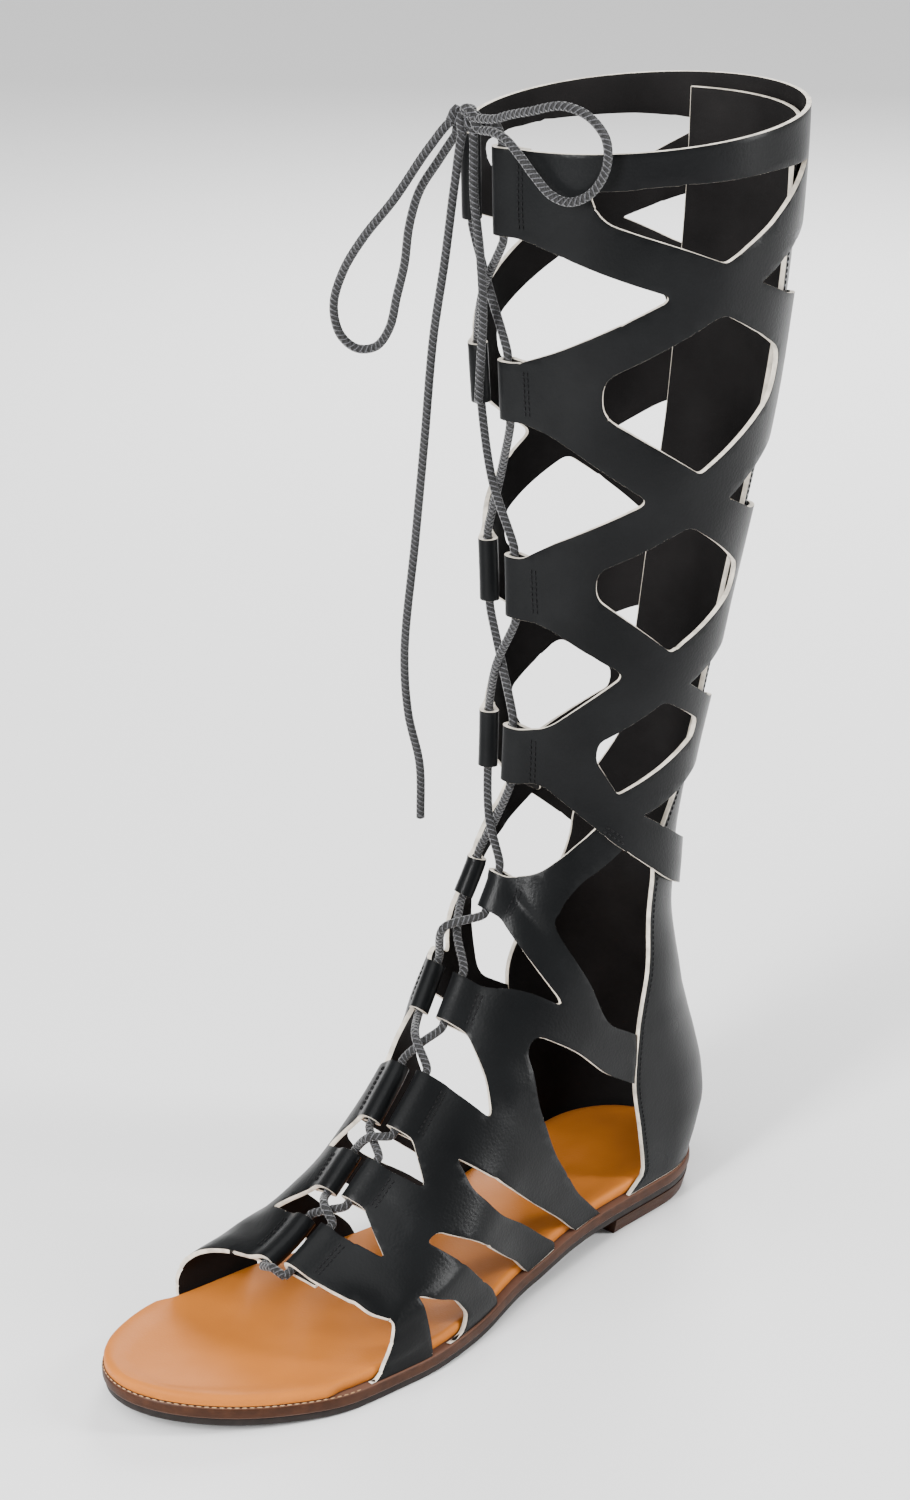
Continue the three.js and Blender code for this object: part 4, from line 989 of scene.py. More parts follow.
def sole_layer(name, levels, place, stations=120, columns=16):
    """One layer of the sole: a grid pulled up through its levels, each vertex then put in its place."""
    fresh()
    bpy.ops.mesh.primitive_grid_add(x_subdivisions=stations, y_subdivisions=columns, size=2)
    piece = bpy.context.object
    piece.name = name
    piece.data.name = name
    bpy.ops.object.mode_set(mode="EDIT")
    bpy.ops.mesh.select_all(action="SELECT")
    for _ in range(levels - 1):
        bpy.ops.mesh.extrude_region_move(TRANSFORM_OT_translate={"value": (0, 0, 1)})
    bpy.ops.object.mode_set(mode="OBJECT")
    grid = coordinates(piece.data)
    level = np.rint(grid[:, 2]).astype(int)
    points = place((grid[:, 0] + 1) / 2, grid[:, 1], level)
    reshape(piece, points)
    tone = piece.data.attributes.new("layer_height", "FLOAT", "POINT")
    tone.data.foreach_set("value", level / (levels - 1))
    active(piece)
    bpy.ops.object.mode_set(mode="EDIT")
    bpy.ops.mesh.select_all(action="SELECT")
    bpy.ops.mesh.normals_make_consistent(inside=False)
    bpy.ops.object.mode_set(mode="OBJECT")
    bpy.ops.object.shade_smooth_by_angle(angle=math.radians(50))
    return piece


TIP = 0.02


def full_plan(u, v, inset):
    x = HEEL_X + inset + TIP + (SOLE_LENGTH - 2 * inset - 2 * TIP) * (1 - np.cos(np.pi * u)) / 2
    middle, half = outline(x, inset)
    return x, middle + half * v


def plan_place(profile, low, high):
    """Places of a layer whose edge follows the profile's rows of share of height and inset."""
    shares = np.array([row[0] for row in profile])
    insets = np.array([row[1] for row in profile])

    def place(u, v, level):
        x = np.empty_like(u)
        y = np.empty_like(u)
        for i, inset in enumerate(insets):
            chosen = level == i
            x[chosen], y[chosen] = full_plan(u[chosen], v[chosen], inset)
        z = low(x) + (high(x) - low(x)) * shares[level]
        return np.stack([x, y, z], axis=1)

    return place


STRAP_INSET = RIM + WALL + 0.6
STEP_OUT = 9.0
TOE_STRAP_X = max(float(profile_place(TOE_EDGE[-1][column], 1)[0]) for column in (1, 2)) + WALL


def footbed_place(u, v, level):
    shares = np.array([0, 0.12, 0.62, 0.86, 0.97, 1.0])
    rounds = np.array([0.5, 0, 0, 0.35, 1.0, 1.9])
    x0 = HEEL_X + STRAP_INSET + TIP
    x1 = TOE_X - TOE_RIM - TIP
    x = x0 + (x1 - x0) * (1 - np.cos(np.pi * u)) / 2
    inset = STRAP_INSET + (TOE_RIM - STRAP_INSET) * smooth((x - TOE_STRAP_X) / STEP_OUT)
    middle, half = outline(x, inset)
    drawn = rounds[level]
    centre = (x0 + x1) / 2
    x_in = centre + (x - centre) * (1 - drawn / ((x1 - x0) / 2))
    y = middle + v * np.maximum(half - drawn * np.minimum(half / 8, 1), half * 0.2)
    low = feather(x) + GAP * 0.5
    from_edge = np.minimum((1 - np.abs(v)) * half, np.minimum(x - x0, x1 - x))
    cup = 0.75 * smooth((from_edge - 1.5) / 8) * (level == 5)
    z = low + FOOTBED * shares[level] - cup
    return np.stack([x_in, y, z], axis=1)


def heel_place(u, v, level):
    tapered = OUTSOLE_INSET + HEEL_TAPER
    insets = np.array([tapered + 0.4, tapered, OUTSOLE_INSET, OUTSOLE_INSET])
    shares = np.array([0, 0.06, 0.94, 1.0])
    inset = insets[level]
    back = HEEL_X + inset + TIP
    front = HEEL_X + HEEL_SEAT - 0.5 * (1 - shares[level])
    x = back + (front - back) * (1 - np.cos(np.pi * u / 2))
    middle, half = outline(x, inset)
    return np.stack([x, middle + v * half, shares[level] * (ground(x) - 0.05)], axis=1)


# Stitches
STITCH_LENGTH = 1.7
STITCH_PITCH = 2.15
STITCH_WIDTH = 0.8


def stitch_shape(length, width):
    """One stitch: a small rounded bar."""
    fresh()
    bpy.ops.mesh.primitive_uv_sphere_add(segments=6, ring_count=4, radius=0.5)
    piece = bpy.context.object
    bpy.ops.object.mode_set(mode="EDIT")
    bpy.ops.mesh.select_all(action="SELECT")
    bpy.ops.transform.rotate(value=math.pi / 2, orient_axis="Y", center_override=(0, 0, 0))
    bpy.ops.transform.resize(value=(length, width, width * 0.9), center_override=(0, 0, 0))
    bpy.ops.object.mode_set(mode="OBJECT")
    shape = coordinates(piece.data)
    faces = [tuple(face.vertices) for face in piece.data.polygons]
    bpy.data.objects.remove(piece, do_unlink=True)
    return shape, faces


def stitches(name, rows, length=STITCH_LENGTH, width=STITCH_WIDTH, pitch=STITCH_PITCH):
    """Stitches along each row, a pair of place and outward direction at close steps."""
    shape, faces = stitch_shape(length, width)
    points = []
    all_faces = []
    for places, normals in rows:
        run = np.concatenate([[0], np.cumsum(np.linalg.norm(np.diff(places, axis=0), axis=1))])
        count = int(run[-1] / pitch)
        if count < 1:
            continue
        spare = (run[-1] - (count - 1) * pitch) / 2
        for k in range(count):
            at = spare + k * pitch
            centre = np.array([np.interp(at, run, places[:, j]) for j in range(3)])
            ahead = np.array([np.interp(at + 0.6, run, places[:, j]) for j in range(3)])
            behind = np.array([np.interp(at - 0.6, run, places[:, j]) for j in range(3)])
            up = unit(np.array([np.interp(at, run, normals[:, j]) for j in range(3)]))
            way = unit(ahead - behind)
            across = unit(np.cross(up, way))
            up = np.cross(way, across)
            first = len(points) * len(shape)
            points.append(centre + shape[:, :1] * way + shape[:, 1:2] * across + shape[:, 2:] * up)
            all_faces += [tuple(first + v for v in face) for face in faces]
    mesh = bpy.data.meshes.new(name)
    mesh.from_pydata((np.concatenate(points) * MM).tolist(), [], all_faces)
    mesh.update()
    piece = bpy.data.objects.new(name, mesh)
    bpy.context.scene.collection.objects.link(piece)
    active(piece)
    bpy.ops.object.shade_smooth()
    return piece


def sheet_row(ends, which, base, rise=0.12):
    """A row on a laid sheet between places given by share along and share round."""
    (s0, t0), (s1, t1) = ends
    share = np.linspace(0, 1, 40)
    s = s0 + (s1 - s0) * share
    t = t0 + (t1 - t0) * share
    x = s * PATTERN_LENGTH
    y = which * (1 - t) * PATTERN_ROUND
    low = lay(x, y, which, base, np.full(40, WALL / 2 + rise))
    high = lay(x, y, which, base, np.full(40, WALL / 2 + rise + 1))
    return low, unit(high - low)


def tab_rows():
    rows = []
    for i, (s0, s1) in enumerate(TABS):
        base = WALL / 2 + (UNDERLAY if i < LEG_TABS else 0)
        margin = 2.0 / along_upper(s0)
        for side in (1, -1):
            for back in (10.4, 12.2):
                ends = [(s, float(throat_edge(s) + back / per_share(s))) for s in (s0 + margin, s1 - margin)]
                rows.append(sheet_row(ends, side, base))
    return rows


def hem_rows():
    rows = []
    base = WALL / 2 + UNDERLAY
    for side in (1, -1):
        rows.append(sheet_row([(0.5195, 0.405), (0.5255, 0.475)], side, base))
        rows.append(sheet_row([(0.5235, 0.402), (0.5295, 0.472)], side, base))
    return rows


def counter_rows():
    rows = []
    z = np.linspace(HEEL_TOP + 3, float(level_point(COLLAR_HEIGHT, 1, 1)[2]) - PANEL_TOP - 4, 260)
    for side in (1, -1):
        for inward in (2.4,):
            t = panel_front(z)
            per = np.linalg.norm(level_point(z, t + 0.02, side) - level_point(z, t, side), axis=1) / 0.02
            low = level_skin(z, t + inward / per, side, panel_depth(z) + WALL / 2 + 0.1)
            high = level_skin(z, t + inward / per, side, panel_depth(z) + WALL / 2 + 1.1)
            rows.append((low, unit(high - low)))
    return rows


def welt_rows():
    """Light stitches in the joint between the footbed and the brown layer, round the toe."""
    inset = TOE_RIM * 0.55
    start = TOE_STRAP_X - 6
    end = TOE_X - inset - TIP
    x = start + (end - start) * np.sin(np.linspace(0, math.pi / 2, 260))
    middle, half = outline(x, inset)
    z = feather(x) + 0.25
    outer = np.stack([x, middle + half, z], axis=1)
    inner = np.stack([x, middle - half, z], axis=1)
    places = np.concatenate([outer, inner[::-1][1:]])
    return [(places, np.tile([0, 0, 1.0], (len(places), 1)))]


# Materials
def group_sockets(group, inputs, outputs):
    for name, kind, value in inputs:
        item = group.interface.new_socket(name=name, in_out="INPUT", socket_type=kind)
        if value is not None:
            item.default_value = value
    for name, kind in outputs:
        group.interface.new_socket(name=name, in_out="OUTPUT", socket_type=kind)
    return group.nodes.new("NodeGroupInput"), group.nodes.new("NodeGroupOutput")


def math_node(nodes, links, operation, a, b=None, clamp=False):
    node = nodes.new("ShaderNodeMath")
    node.operation = operation
    node.use_clamp = clamp
    for socket, value in ((node.inputs[0], a), (node.inputs[1], b)):
        if value is None:
            continue
        if isinstance(value, (int, float)):
            socket.default_value = value
        else:
            links.new(value, socket)
    return node.outputs[0]


def grain_group():
    """Leather: fine pebbles and pores, faint wrinkles, and slow changes of tone."""
    group = bpy.data.node_groups.new("Leather grain", "ShaderNodeTree")
    start, end = group_sockets(
        group,
        [("Vector", "NodeSocketVector", None), ("Pebbles per metre", "NodeSocketFloat", 900.0),
         ("Wrinkles", "NodeSocketFloat", 0.35)],
        [("Height", "NodeSocketFloat"), ("Tone", "NodeSocketFloat"), ("Wear", "NodeSocketFloat")],
    )
    nodes, links = group.nodes, group.links
    pebble = nodes.new("ShaderNodeTexVoronoi")
    pebble.feature = "SMOOTH_F1"
    pebble.inputs["Smoothness"].default_value = 0.35
    links.new(start.outputs["Vector"], pebble.inputs["Vector"])
    links.new(start.outputs["Pebbles per metre"], pebble.inputs["Scale"])
    pore = nodes.new("ShaderNodeTexNoise")
    pore.inputs["Scale"].default_value = 2400
    pore.inputs["Detail"].default_value = 3
    links.new(start.outputs["Vector"], pore.inputs["Vector"])
    wrinkle = nodes.new("ShaderNodeTexNoise")
    wrinkle.inputs["Scale"].default_value = 130
    wrinkle.inputs["Detail"].default_value = 4
    wrinkle.inputs["Distortion"].default_value = 1.6
    links.new(start.outputs["Vector"], wrinkle.inputs["Vector"])
    slow = nodes.new("ShaderNodeTexNoise")
    slow.inputs["Scale"].default_value = 26
    slow.inputs["Detail"].default_value = 3
    links.new(start.outputs["Vector"], slow.inputs["Vector"])
    domes = math_node(nodes, links, "MULTIPLY", pebble.outputs["Distance"], -0.5)
    pores = math_node(nodes, links, "MULTIPLY", pore.outputs["Fac"], 0.25)
    folds = math_node(nodes, links, "MULTIPLY", wrinkle.outputs["Fac"], start.outputs["Wrinkles"])
    total = math_node(nodes, links, "ADD", math_node(nodes, links, "ADD", domes, pores), folds)
    links.new(total, end.inputs["Height"])
    links.new(slow.outputs["Fac"], end.inputs["Tone"])
    ramp = nodes.new("ShaderNodeMapRange")
    ramp.inputs["From Min"].default_value = 0.52
    ramp.inputs["From Max"].default_value = 0.72
    links.new(wrinkle.outputs["Fac"], ramp.inputs["Value"])
    links.new(ramp.outputs["Result"], end.inputs["Wear"])
    return group


def fibre_group():
    """Cut leather or stacked board: fine fibres, streaks and darker flecks."""
    group = bpy.data.node_groups.new("Cut fibres", "ShaderNodeTree")
    start, end = group_sockets(
        group,
        [("Vector", "NodeSocketVector", None), ("Fibres per metre", "NodeSocketFloat", 1500.0)],
        [("Height", "NodeSocketFloat"), ("Fleck", "NodeSocketFloat")],
    )
    nodes, links = group.nodes, group.links
    streak = nodes.new("ShaderNodeMapping")
    streak.inputs["Scale"].default_value = (0.35, 0.35, 1.8)
    links.new(start.outputs["Vector"], streak.inputs["Vector"])
    fibre = nodes.new("ShaderNodeTexNoise")
    fibre.inputs["Detail"].default_value = 5
    links.new(streak.outputs["Vector"], fibre.inputs["Vector"])
    links.new(start.outputs["Fibres per metre"], fibre.inputs["Scale"])
    fleck = nodes.new("ShaderNodeTexNoise")
    fleck.inputs["Scale"].default_value = 210
    fleck.inputs["Detail"].default_value = 4
    links.new(start.outputs["Vector"], fleck.inputs["Vector"])
    spread = nodes.new("ShaderNodeMapRange")
    spread.inputs["From Min"].default_value = 0.40
    spread.inputs["From Max"].default_value = 0.66
    links.new(fleck.outputs["Fac"], spread.inputs["Value"])
    links.new(fibre.outputs["Fac"], end.inputs["Height"])
    links.new(spread.outputs["Result"], end.inputs["Fleck"])
    return group


def braid_group():
    """Round braid: strands that cross in two directions round the cord."""
    group = bpy.data.node_groups.new("Round braid", "ShaderNodeTree")
    start, end = group_sockets(
        group,
        [("Vector", "NodeSocketVector", None), ("Strands", "NodeSocketFloat", 5.0)],
        [("Height", "NodeSocketFloat"), ("Strand", "NodeSocketFloat")],
    )
    nodes, links = group.nodes, group.links
    parts = nodes.new("ShaderNodeSeparateXYZ")
    links.new(start.outputs["Vector"], parts.inputs["Vector"])
    along = math_node(nodes, links, "MULTIPLY", parts.outputs["X"], start.outputs["Strands"])
    along = math_node(nodes, links, "MULTIPLY", along, 1.7)
    around = math_node(nodes, links, "MULTIPLY", parts.outputs["Y"], start.outputs["Strands"])
    waves = []
    for operation in ("ADD", "SUBTRACT"):
        both = math_node(nodes, links, operation, along, around)
        wave = math_node(nodes, links, "SINE", math_node(nodes, links, "MULTIPLY", both, 2 * math.pi))
        waves.append(wave)
    over = math_node(nodes, links, "MAXIMUM", waves[0], waves[1])
    links.new(over, end.inputs["Height"])
    chosen = math_node(nodes, links, "GREATER_THAN", waves[0], waves[1])
    links.new(chosen, end.inputs["Strand"])
    return group


class Finish:
    """One material with a Principled shader, and the groups that are placed in it."""

    def __init__(self, name):
        self.material = bpy.data.materials.new(name)
        self.material.use_nodes = True
        self.nodes = self.material.node_tree.nodes
        self.links = self.material.node_tree.links
        self.shader = self.nodes["Principled BSDF"]
        self.place = self.nodes.new("ShaderNodeTexCoord")

    def group(self, tree, source="Object", **values):
        node = self.nodes.new("ShaderNodeGroup")
        node.node_tree = tree
        self.links.new(self.place.outputs[source], node.inputs["Vector"])
        for name, value in values.items():
            node.inputs[name.replace("_", " ")].default_value = value
        return node

    def bump(self, height, strength, distance):
        node = self.nodes.new("ShaderNodeBump")
        node.inputs["Strength"].default_value = strength
        node.inputs["Distance"].default_value = distance * MM
        self.links.new(height, node.inputs["Height"])
        self.links.new(node.outputs["Normal"], self.shader.inputs["Normal"])

    def mix(self, mask, first, second):
        node = self.nodes.new("ShaderNodeMix")
        node.data_type = "RGBA"
        self.links.new(mask, node.inputs["Factor"])
        for socket, value in ((node.inputs[6], first), (node.inputs[7], second)):
            if isinstance(value, tuple):
                socket.default_value = (*value, 1)
            else:
                self.links.new(value, socket)
        return node.outputs[2]

    def spread(self, value, low, high, to_low, to_high):
        node = self.nodes.new("ShaderNodeMapRange")
        node.inputs["From Min"].default_value = low
        node.inputs["From Max"].default_value = high
        node.inputs["To Min"].default_value = to_low
        node.inputs["To Max"].default_value = to_high
        self.links.new(value, node.inputs["Value"])
        return node.outputs["Result"]

    def colour(self, socket):
        self.links.new(socket, self.shader.inputs["Base Color"])

    def roughness(self, socket):
        self.links.new(socket, self.shader.inputs["Roughness"])


def brighter(colour, factor, lift=0.0):
    """A colour times a factor, with some white added, at most full brightness."""
    return tuple(min(c * factor + lift, 1) for c in colour)


def leather_finish(name, grain, dark, light, rough_low, rough_high, strength=0.35,
                   pebbles=900.0, wrinkles=0.35, specular=0.09):
    finish = Finish(name)
    node = finish.group(grain, Pebbles_per_metre=pebbles, Wrinkles=wrinkles)
    tone = finish.spread(node.outputs["Tone"], 0.32, 0.68, 0, 1)
    finish.colour(finish.mix(tone, dark, light))
    finish.roughness(finish.spread(node.outputs["Tone"], 0.3, 0.7, rough_high, rough_low))
    finish.bump(node.outputs["Height"], strength, 0.25)
    finish.shader.inputs["Specular IOR Level"].default_value = specular
    return finish


def raw_edge_finish(name, fibres, pale, stained):
    finish = Finish(name)
    node = finish.group(fibres, Fibres_per_metre=1400.0)
    finish.colour(finish.mix(node.outputs["Fleck"], pale, stained))
    finish.shader.inputs["Roughness"].default_value = 0.75
    finish.bump(node.outputs["Height"], 0.4, 0.2)
    return finish


def layer_finish(name, fibres, dark, light, line):
    """Edge of a sole layer with a painted highlight: a light line along its top and its foot."""
    finish = Finish(name)
    node = finish.group(fibres, Fibres_per_metre=1100.0)
    wood = finish.mix(node.outputs["Fleck"], dark, light)
    at = finish.nodes.new("ShaderNodeAttribute")
    at.attribute_name = "layer_height"
    # Painted highlight: the bands at the top and the foot of the layer's height take the light line colour.
    high = finish.spread(at.outputs["Fac"], 0.84, 0.94, 0, 1)
    low = finish.spread(at.outputs["Fac"], 0.14, 0.24, 1, 0)
    both = math_node(finish.nodes, finish.links, "MAXIMUM", high, low, clamp=True)
    finish.colour(finish.mix(both, wood, line))
    finish.shader.inputs["Roughness"].default_value = 0.5
    finish.shader.inputs["Specular IOR Level"].default_value = 0.15
    finish.bump(node.outputs["Height"], 0.35, 0.25)
    return finish


def cord_finish(name, braid, grain, dark, light):
    finish = Finish(name)
    node = finish.group(braid, source="UV", Strands=3.0)
    fuzz = finish.group(grain, Pebbles_per_metre=2200.0, Wrinkles=0.6)
    strand = finish.mix(node.outputs["Strand"], dark, light)
    # Painted shade: below the strands' crests the cord is painted at half its dark colour, as the shade in
    # the grooves between strands.
    raised = finish.spread(node.outputs["Height"], 0.72, 0.98, 0, 1)
    finish.colour(finish.mix(raised, tuple(c * 0.5 for c in dark), strand))
    finish.roughness(finish.spread(fuzz.outputs["Tone"], 0.3, 0.7, 0.85, 0.65))
    finish.bump(node.outputs["Height"], 0.8, 0.35)
    finish.shader.inputs["Sheen Weight"].default_value = 0.3
    finish.shader.inputs["Sheen Roughness"].default_value = 0.4
    return finish


FINISHES = {}


def make_finishes(colours):
    grain = grain_group()
    fibres = fibre_group()
    braid = braid_group()
    black = tuple(colours.leather)
    soft = tuple(min(c * 1.5 + 0.002, 1) for c in black)
    FINISHES["outside"] = leather_finish("Black smooth leather", grain, black, soft, 0.26, 0.38).material
    FINISHES["counter"] = leather_finish(
        "Black counter leather", grain, black, soft, 0.26, 0.36, 0.25
    ).material
    FINISHES["lining"] = leather_finish(
        "Dark lining", grain, (0.006, 0.0055, 0.0055), (0.012, 0.011, 0.011), 0.7, 0.85, 0.5, 1500.0
    ).material
    pale = tuple(colours.raw_edge)
    FINISHES["raw"] = raw_edge_finish("Raw cut edge", fibres, pale, tuple(c * 0.62 for c in pale)).material
    tan = tuple(colours.footbed)
    bed = leather_finish("Tan footbed leather", grain, tan, brighter(tan, 1.18), 0.42, 0.55, 0.25, 1300.0)
    FINISHES["footbed"] = bed.material
    brown = tuple(colours.midsole)
    # The midsole's light lines at its top and foot are painted highlights; the bottom layer and the heel pass
    # their own colour, so they get none.
    FINISHES["midsole"] = layer_finish(
        "Brown stacked edge", fibres, brown, brighter(brown, 1.5), brighter(brown, 2.6, 0.02)
    ).material
    dark = tuple(colours.outsole)
    FINISHES["outsole"] = layer_finish("Dark bottom layer", fibres, dark, brighter(dark, 1.6), dark).material
    heel = tuple(c * 0.8 for c in brown)
    FINISHES["heel"] = layer_finish("Brown heel block", fibres, heel, brighter(heel, 1.4), heel).material
    cord = tuple(colours.lace)
    FINISHES["lace"] = cord_finish("Black braided cord", braid, grain, cord, brighter(cord, 14)).material
    FINISHES["thread"] = leather_finish(
        "Black thread", grain, (0.003, 0.003, 0.003), (0.009, 0.009, 0.010), 0.45, 0.6, 0.4, 3000.0,
        specular=0.12
    ).material
    FINISHES["welt thread"] = leather_finish(
        "Tan thread", grain, (0.34, 0.20, 0.10), (0.50, 0.33, 0.19), 0.6, 0.75, 0.4, 3000.0
    ).material


# Floor, light and camera
CAMERA_PLACE = (993.174, 866.484, 728.464)
CAMERA_YAW = 46.3312
CAMERA_PITCH = 18.8583
CAMERA_ROLL = -1.7718
PHOTO_FOCAL = 3108.066
PHOTO_WIDTH = 910
SHOE_OFF_CENTRE = (159.0, 181.0)
FRAME_FILL = 1.21


def camera_axes():
    """Right, up and forward of a camera at the photo's place that looks at the shoe's middle."""
    a = math.radians(CAMERA_YAW)
    e = math.radians(CAMERA_PITCH)
    roll = math.radians(CAMERA_ROLL)
    ahead = -np.array([math.cos(a) * math.cos(e), math.sin(a) * math.cos(e), math.sin(e)])
    right = unit(np.cross(ahead, [0, 0, 1]))
    up = np.cross(right, ahead)
    rolled_right = math.cos(roll) * right + math.sin(roll) * up
    rolled_up = -math.sin(roll) * right + math.cos(roll) * up
    x, y = SHOE_OFF_CENTRE
    ahead = unit(ahead * PHOTO_FOCAL + rolled_right * x - rolled_up * y)
    up = unit(rolled_up - ahead * np.dot(rolled_up, ahead))
    return np.cross(ahead, up), up, ahead


def add_area(name, place, target, size, power, colour=(1, 1, 1)):
    light = bpy.data.lights.new(name, "AREA")
    light.shape = "RECTANGLE"
    light.size, light.size_y = size
    light.energy = power
    light.color = colour
    lamp = bpy.data.objects.new(name, light)
    lamp.location = place
    lamp.rotation_euler = (Vector(target) - Vector(place)).to_track_quat("-Z", "Y").to_euler()
    bpy.context.scene.collection.objects.link(lamp)
    return lamp


def add_sun(name, place, target, spread, strength):
    light = bpy.data.lights.new(name, "SUN")
    light.angle = math.radians(spread)
    light.energy = strength
    lamp = bpy.data.objects.new(name, light)
    lamp.location = place
    lamp.rotation_euler = (Vector(target) - Vector(place)).to_track_quat("-Z", "Y").to_euler()
    bpy.context.scene.collection.objects.link(lamp)
    return lamp


# Sizes and colours that a user may change
class SandalSizes(bpy.types.PropertyGroup):
    wall: bpy.props.FloatProperty(
        name="Strap thickness", description="Thickness of the strap leather", default=WALL * MM, min=0.0008,
        max=0.004, unit="LENGTH", precision=4)
    edge_round: bpy.props.FloatProperty(
        name="Edge round", description="Small round along the cut edges",
        default=0.22 * MM, min=0, max=0.0006,
        unit="LENGTH", precision=5)
    lace: bpy.props.FloatProperty(
        name="Lace thickness", description="Diameter of the round lace",
        default=LACE * MM, min=0.001, max=0.005,
        unit="LENGTH", precision=4)


class SandalColours(bpy.types.PropertyGroup):
    leather: bpy.props.FloatVectorProperty(
        name="Leather", description="Straps and counter",
        default=(0.0034, 0.0037, 0.0040), min=0, max=1, size=3,
        subtype="COLOR")
    raw_edge: bpy.props.FloatVectorProperty(
        name="Raw edge", description="Cut edges of the straps",
        default=(0.78, 0.71, 0.60), min=0, max=1, size=3,
        subtype="COLOR")
    footbed: bpy.props.FloatVectorProperty(
        name="Footbed", description="Leather of the footbed",
        default=(0.43, 0.135, 0.020), min=0, max=1, size=3,
        subtype="COLOR")
    midsole: bpy.props.FloatVectorProperty(
        name="Midsole", description="Brown layer", default=(0.034, 0.012, 0.005), min=0, max=1, size=3,
        subtype="COLOR")
    outsole: bpy.props.FloatVectorProperty(
        name="Outsole", description="Bottom layer", default=(0.012, 0.009, 0.008), min=0, max=1, size=3,
        subtype="COLOR")
    lace: bpy.props.FloatVectorProperty(
        name="Lace", description="Braided lace", default=(0.0065, 0.0065, 0.0072), min=0, max=1, size=3,
        subtype="COLOR")


class SANDAL_OT_stage(bpy.types.Operator):
    """Floor, lights and camera"""

    bl_idname = "sandal.stage"
    bl_label = "Floor, light and camera"

    def execute(self, context):
        scene = context.scene
        right, up, ahead = camera_axes()
        data = bpy.data.cameras.new("Photo view")
        data.sensor_fit = "HORIZONTAL"
        data.sensor_width = 36
        data.lens = PHOTO_FOCAL / PHOTO_WIDTH * 36 * FRAME_FILL
        data.clip_start = 0.05
        data.clip_end = 50
        camera = bpy.data.objects.new("Photo view", data)
        turn = np.stack([right, up, -ahead], axis=1)
        matrix = np.eye(4)
        matrix[:3, :3] = turn
        matrix[:3, 3] = np.array(CAMERA_PLACE) * MM
        camera.matrix_world = Matrix(matrix.tolist())
        scene.collection.objects.link(camera)
        scene.camera = camera
        fresh()
        bpy.ops.mesh.primitive_plane_add(size=60)
        floor = context.object
        floor.name = "Studio floor"
        finish = Finish("Pale floor")
        finish.shader.inputs["Base Color"].default_value = (0.86, 0.86, 0.86, 1)
        finish.shader.inputs["Roughness"].default_value = 0.8
        floor.data.materials.append(finish.material)
        world = bpy.data.worlds.new("Soft studio")
        world.use_nodes = True
        world.node_tree.nodes["Background"].inputs["Color"].default_value = (1, 1, 1, 1)
        world.node_tree.nodes["Background"].inputs["Strength"].default_value = 0.34
        scene.world = world
        middle = (0.05, 0, 0.2)
        add_sun("Soft sun", (0.9, -0.2, 2.4), middle, 60, 2.4)
        add_area("Front light", (1.6, 0.15, 1.0), middle, (0.35, 1.1), 54)
        add_area("Outer light", (-0.9, 1.35, 0.8), middle, (0.3, 1.2), 40)
        add_area("Back light", (-1.2, -0.9, 1.0), middle, (0.6, 0.8), 28)
        return {"FINISHED"}


class SANDAL_OT_bow(bpy.types.Operator):
    """Bow at the collar: two loops, two ends and the knot"""

    bl_idname = "sandal.bow"
    bl_label = "Bow"

    def execute(self, context):
        radius = context.scene.sandal_sizes.lace / MM / 2
        turns = np.linspace(0, 2 * math.pi, 90)
        twist = 1.3
        plane_up = np.array([0, 0, 1.0])
        knot_path = (
            KNOT
            + np.outer((np.sin(turns) + 2 * np.sin(2 * turns)) * twist, ACROSS)
            + np.outer((np.cos(turns) - 2 * np.cos(2 * turns)) * twist * 0.8, plane_up)
            + np.outer(-np.sin(3 * turns) * 1.7, AHEAD)
        )
        rows = (
            ("bow_loop_inner", hanging(LEFT_LOOP), "lace_loop_inner", "object"),
            ("bow_loop_outer", lying(RIGHT_LOOP), "lace_loop_outer", "object"),
            ("bow_end_long", hanging(LONG_END), "lace_end_long", "bare"),
            ("bow_end_short", hanging(SHORT_END), "lace_end_short", "bare"),
        )
        over = []
        for _, points, _, far_end in rows:
            starts = (points[0], points[-1]) if far_end == "object" else (points[0],)
            for start in starts:
                way = unit(start - KNOT)
                top = KNOT + way * 2.6 + plane_up * 3.6 + AHEAD * 2.2
                over.append(smooth_path([KNOT - plane_up * 2, KNOT + AHEAD * 2.5, top, start + way], 1.2))
        knot = tube("bow_knot", [knot_path] + over, radius)
        finished(knot, ["lace_knot"], "lace", FINISHES["lace"])
        for name, points, node, far_end in rows:
            points = [KNOT + (points[0] - KNOT) * 0.3] + list(points)
            if far_end == "object":
                points.append(KNOT + (points[-1] - KNOT) * 0.3)
            path = smooth_path(points, 1.3)
            piece = tube(name, [path], radius)
            finished(piece, [node], "lace", FINISHES["lace"])
        return {"FINISHED"}


class SANDAL_OT_lace(bpy.types.Operator):
    """Lace through the folded tabs"""

    bl_idname = "sandal.lace"
    bl_label = "Lace"

    def execute(self, context):
        radius = context.scene.sandal_sizes.lace / MM / 2
        routes = [lace_route(side) for side in (1, -1)]
        ends = [route[-1] for route in routes]
        up = outward(TABS[-1][1], 0.06, 1)
        middle = (ends[0] + ends[1]) / 2 + up * 2
        paths = [smooth_path(route, 1.2) for route in routes]
        first = ends[0] * 0.5 + middle * 0.5
        last = ends[1] * 0.5 + middle * 0.5
        paths.append(smooth_path([ends[0], first, middle, last, ends[1]], 1.2))
        piece = tube("lace_run", paths, radius, sides=12)
        finished(piece, ["lace"], "lace", FINISHES["lace"])
        return {"FINISHED"}


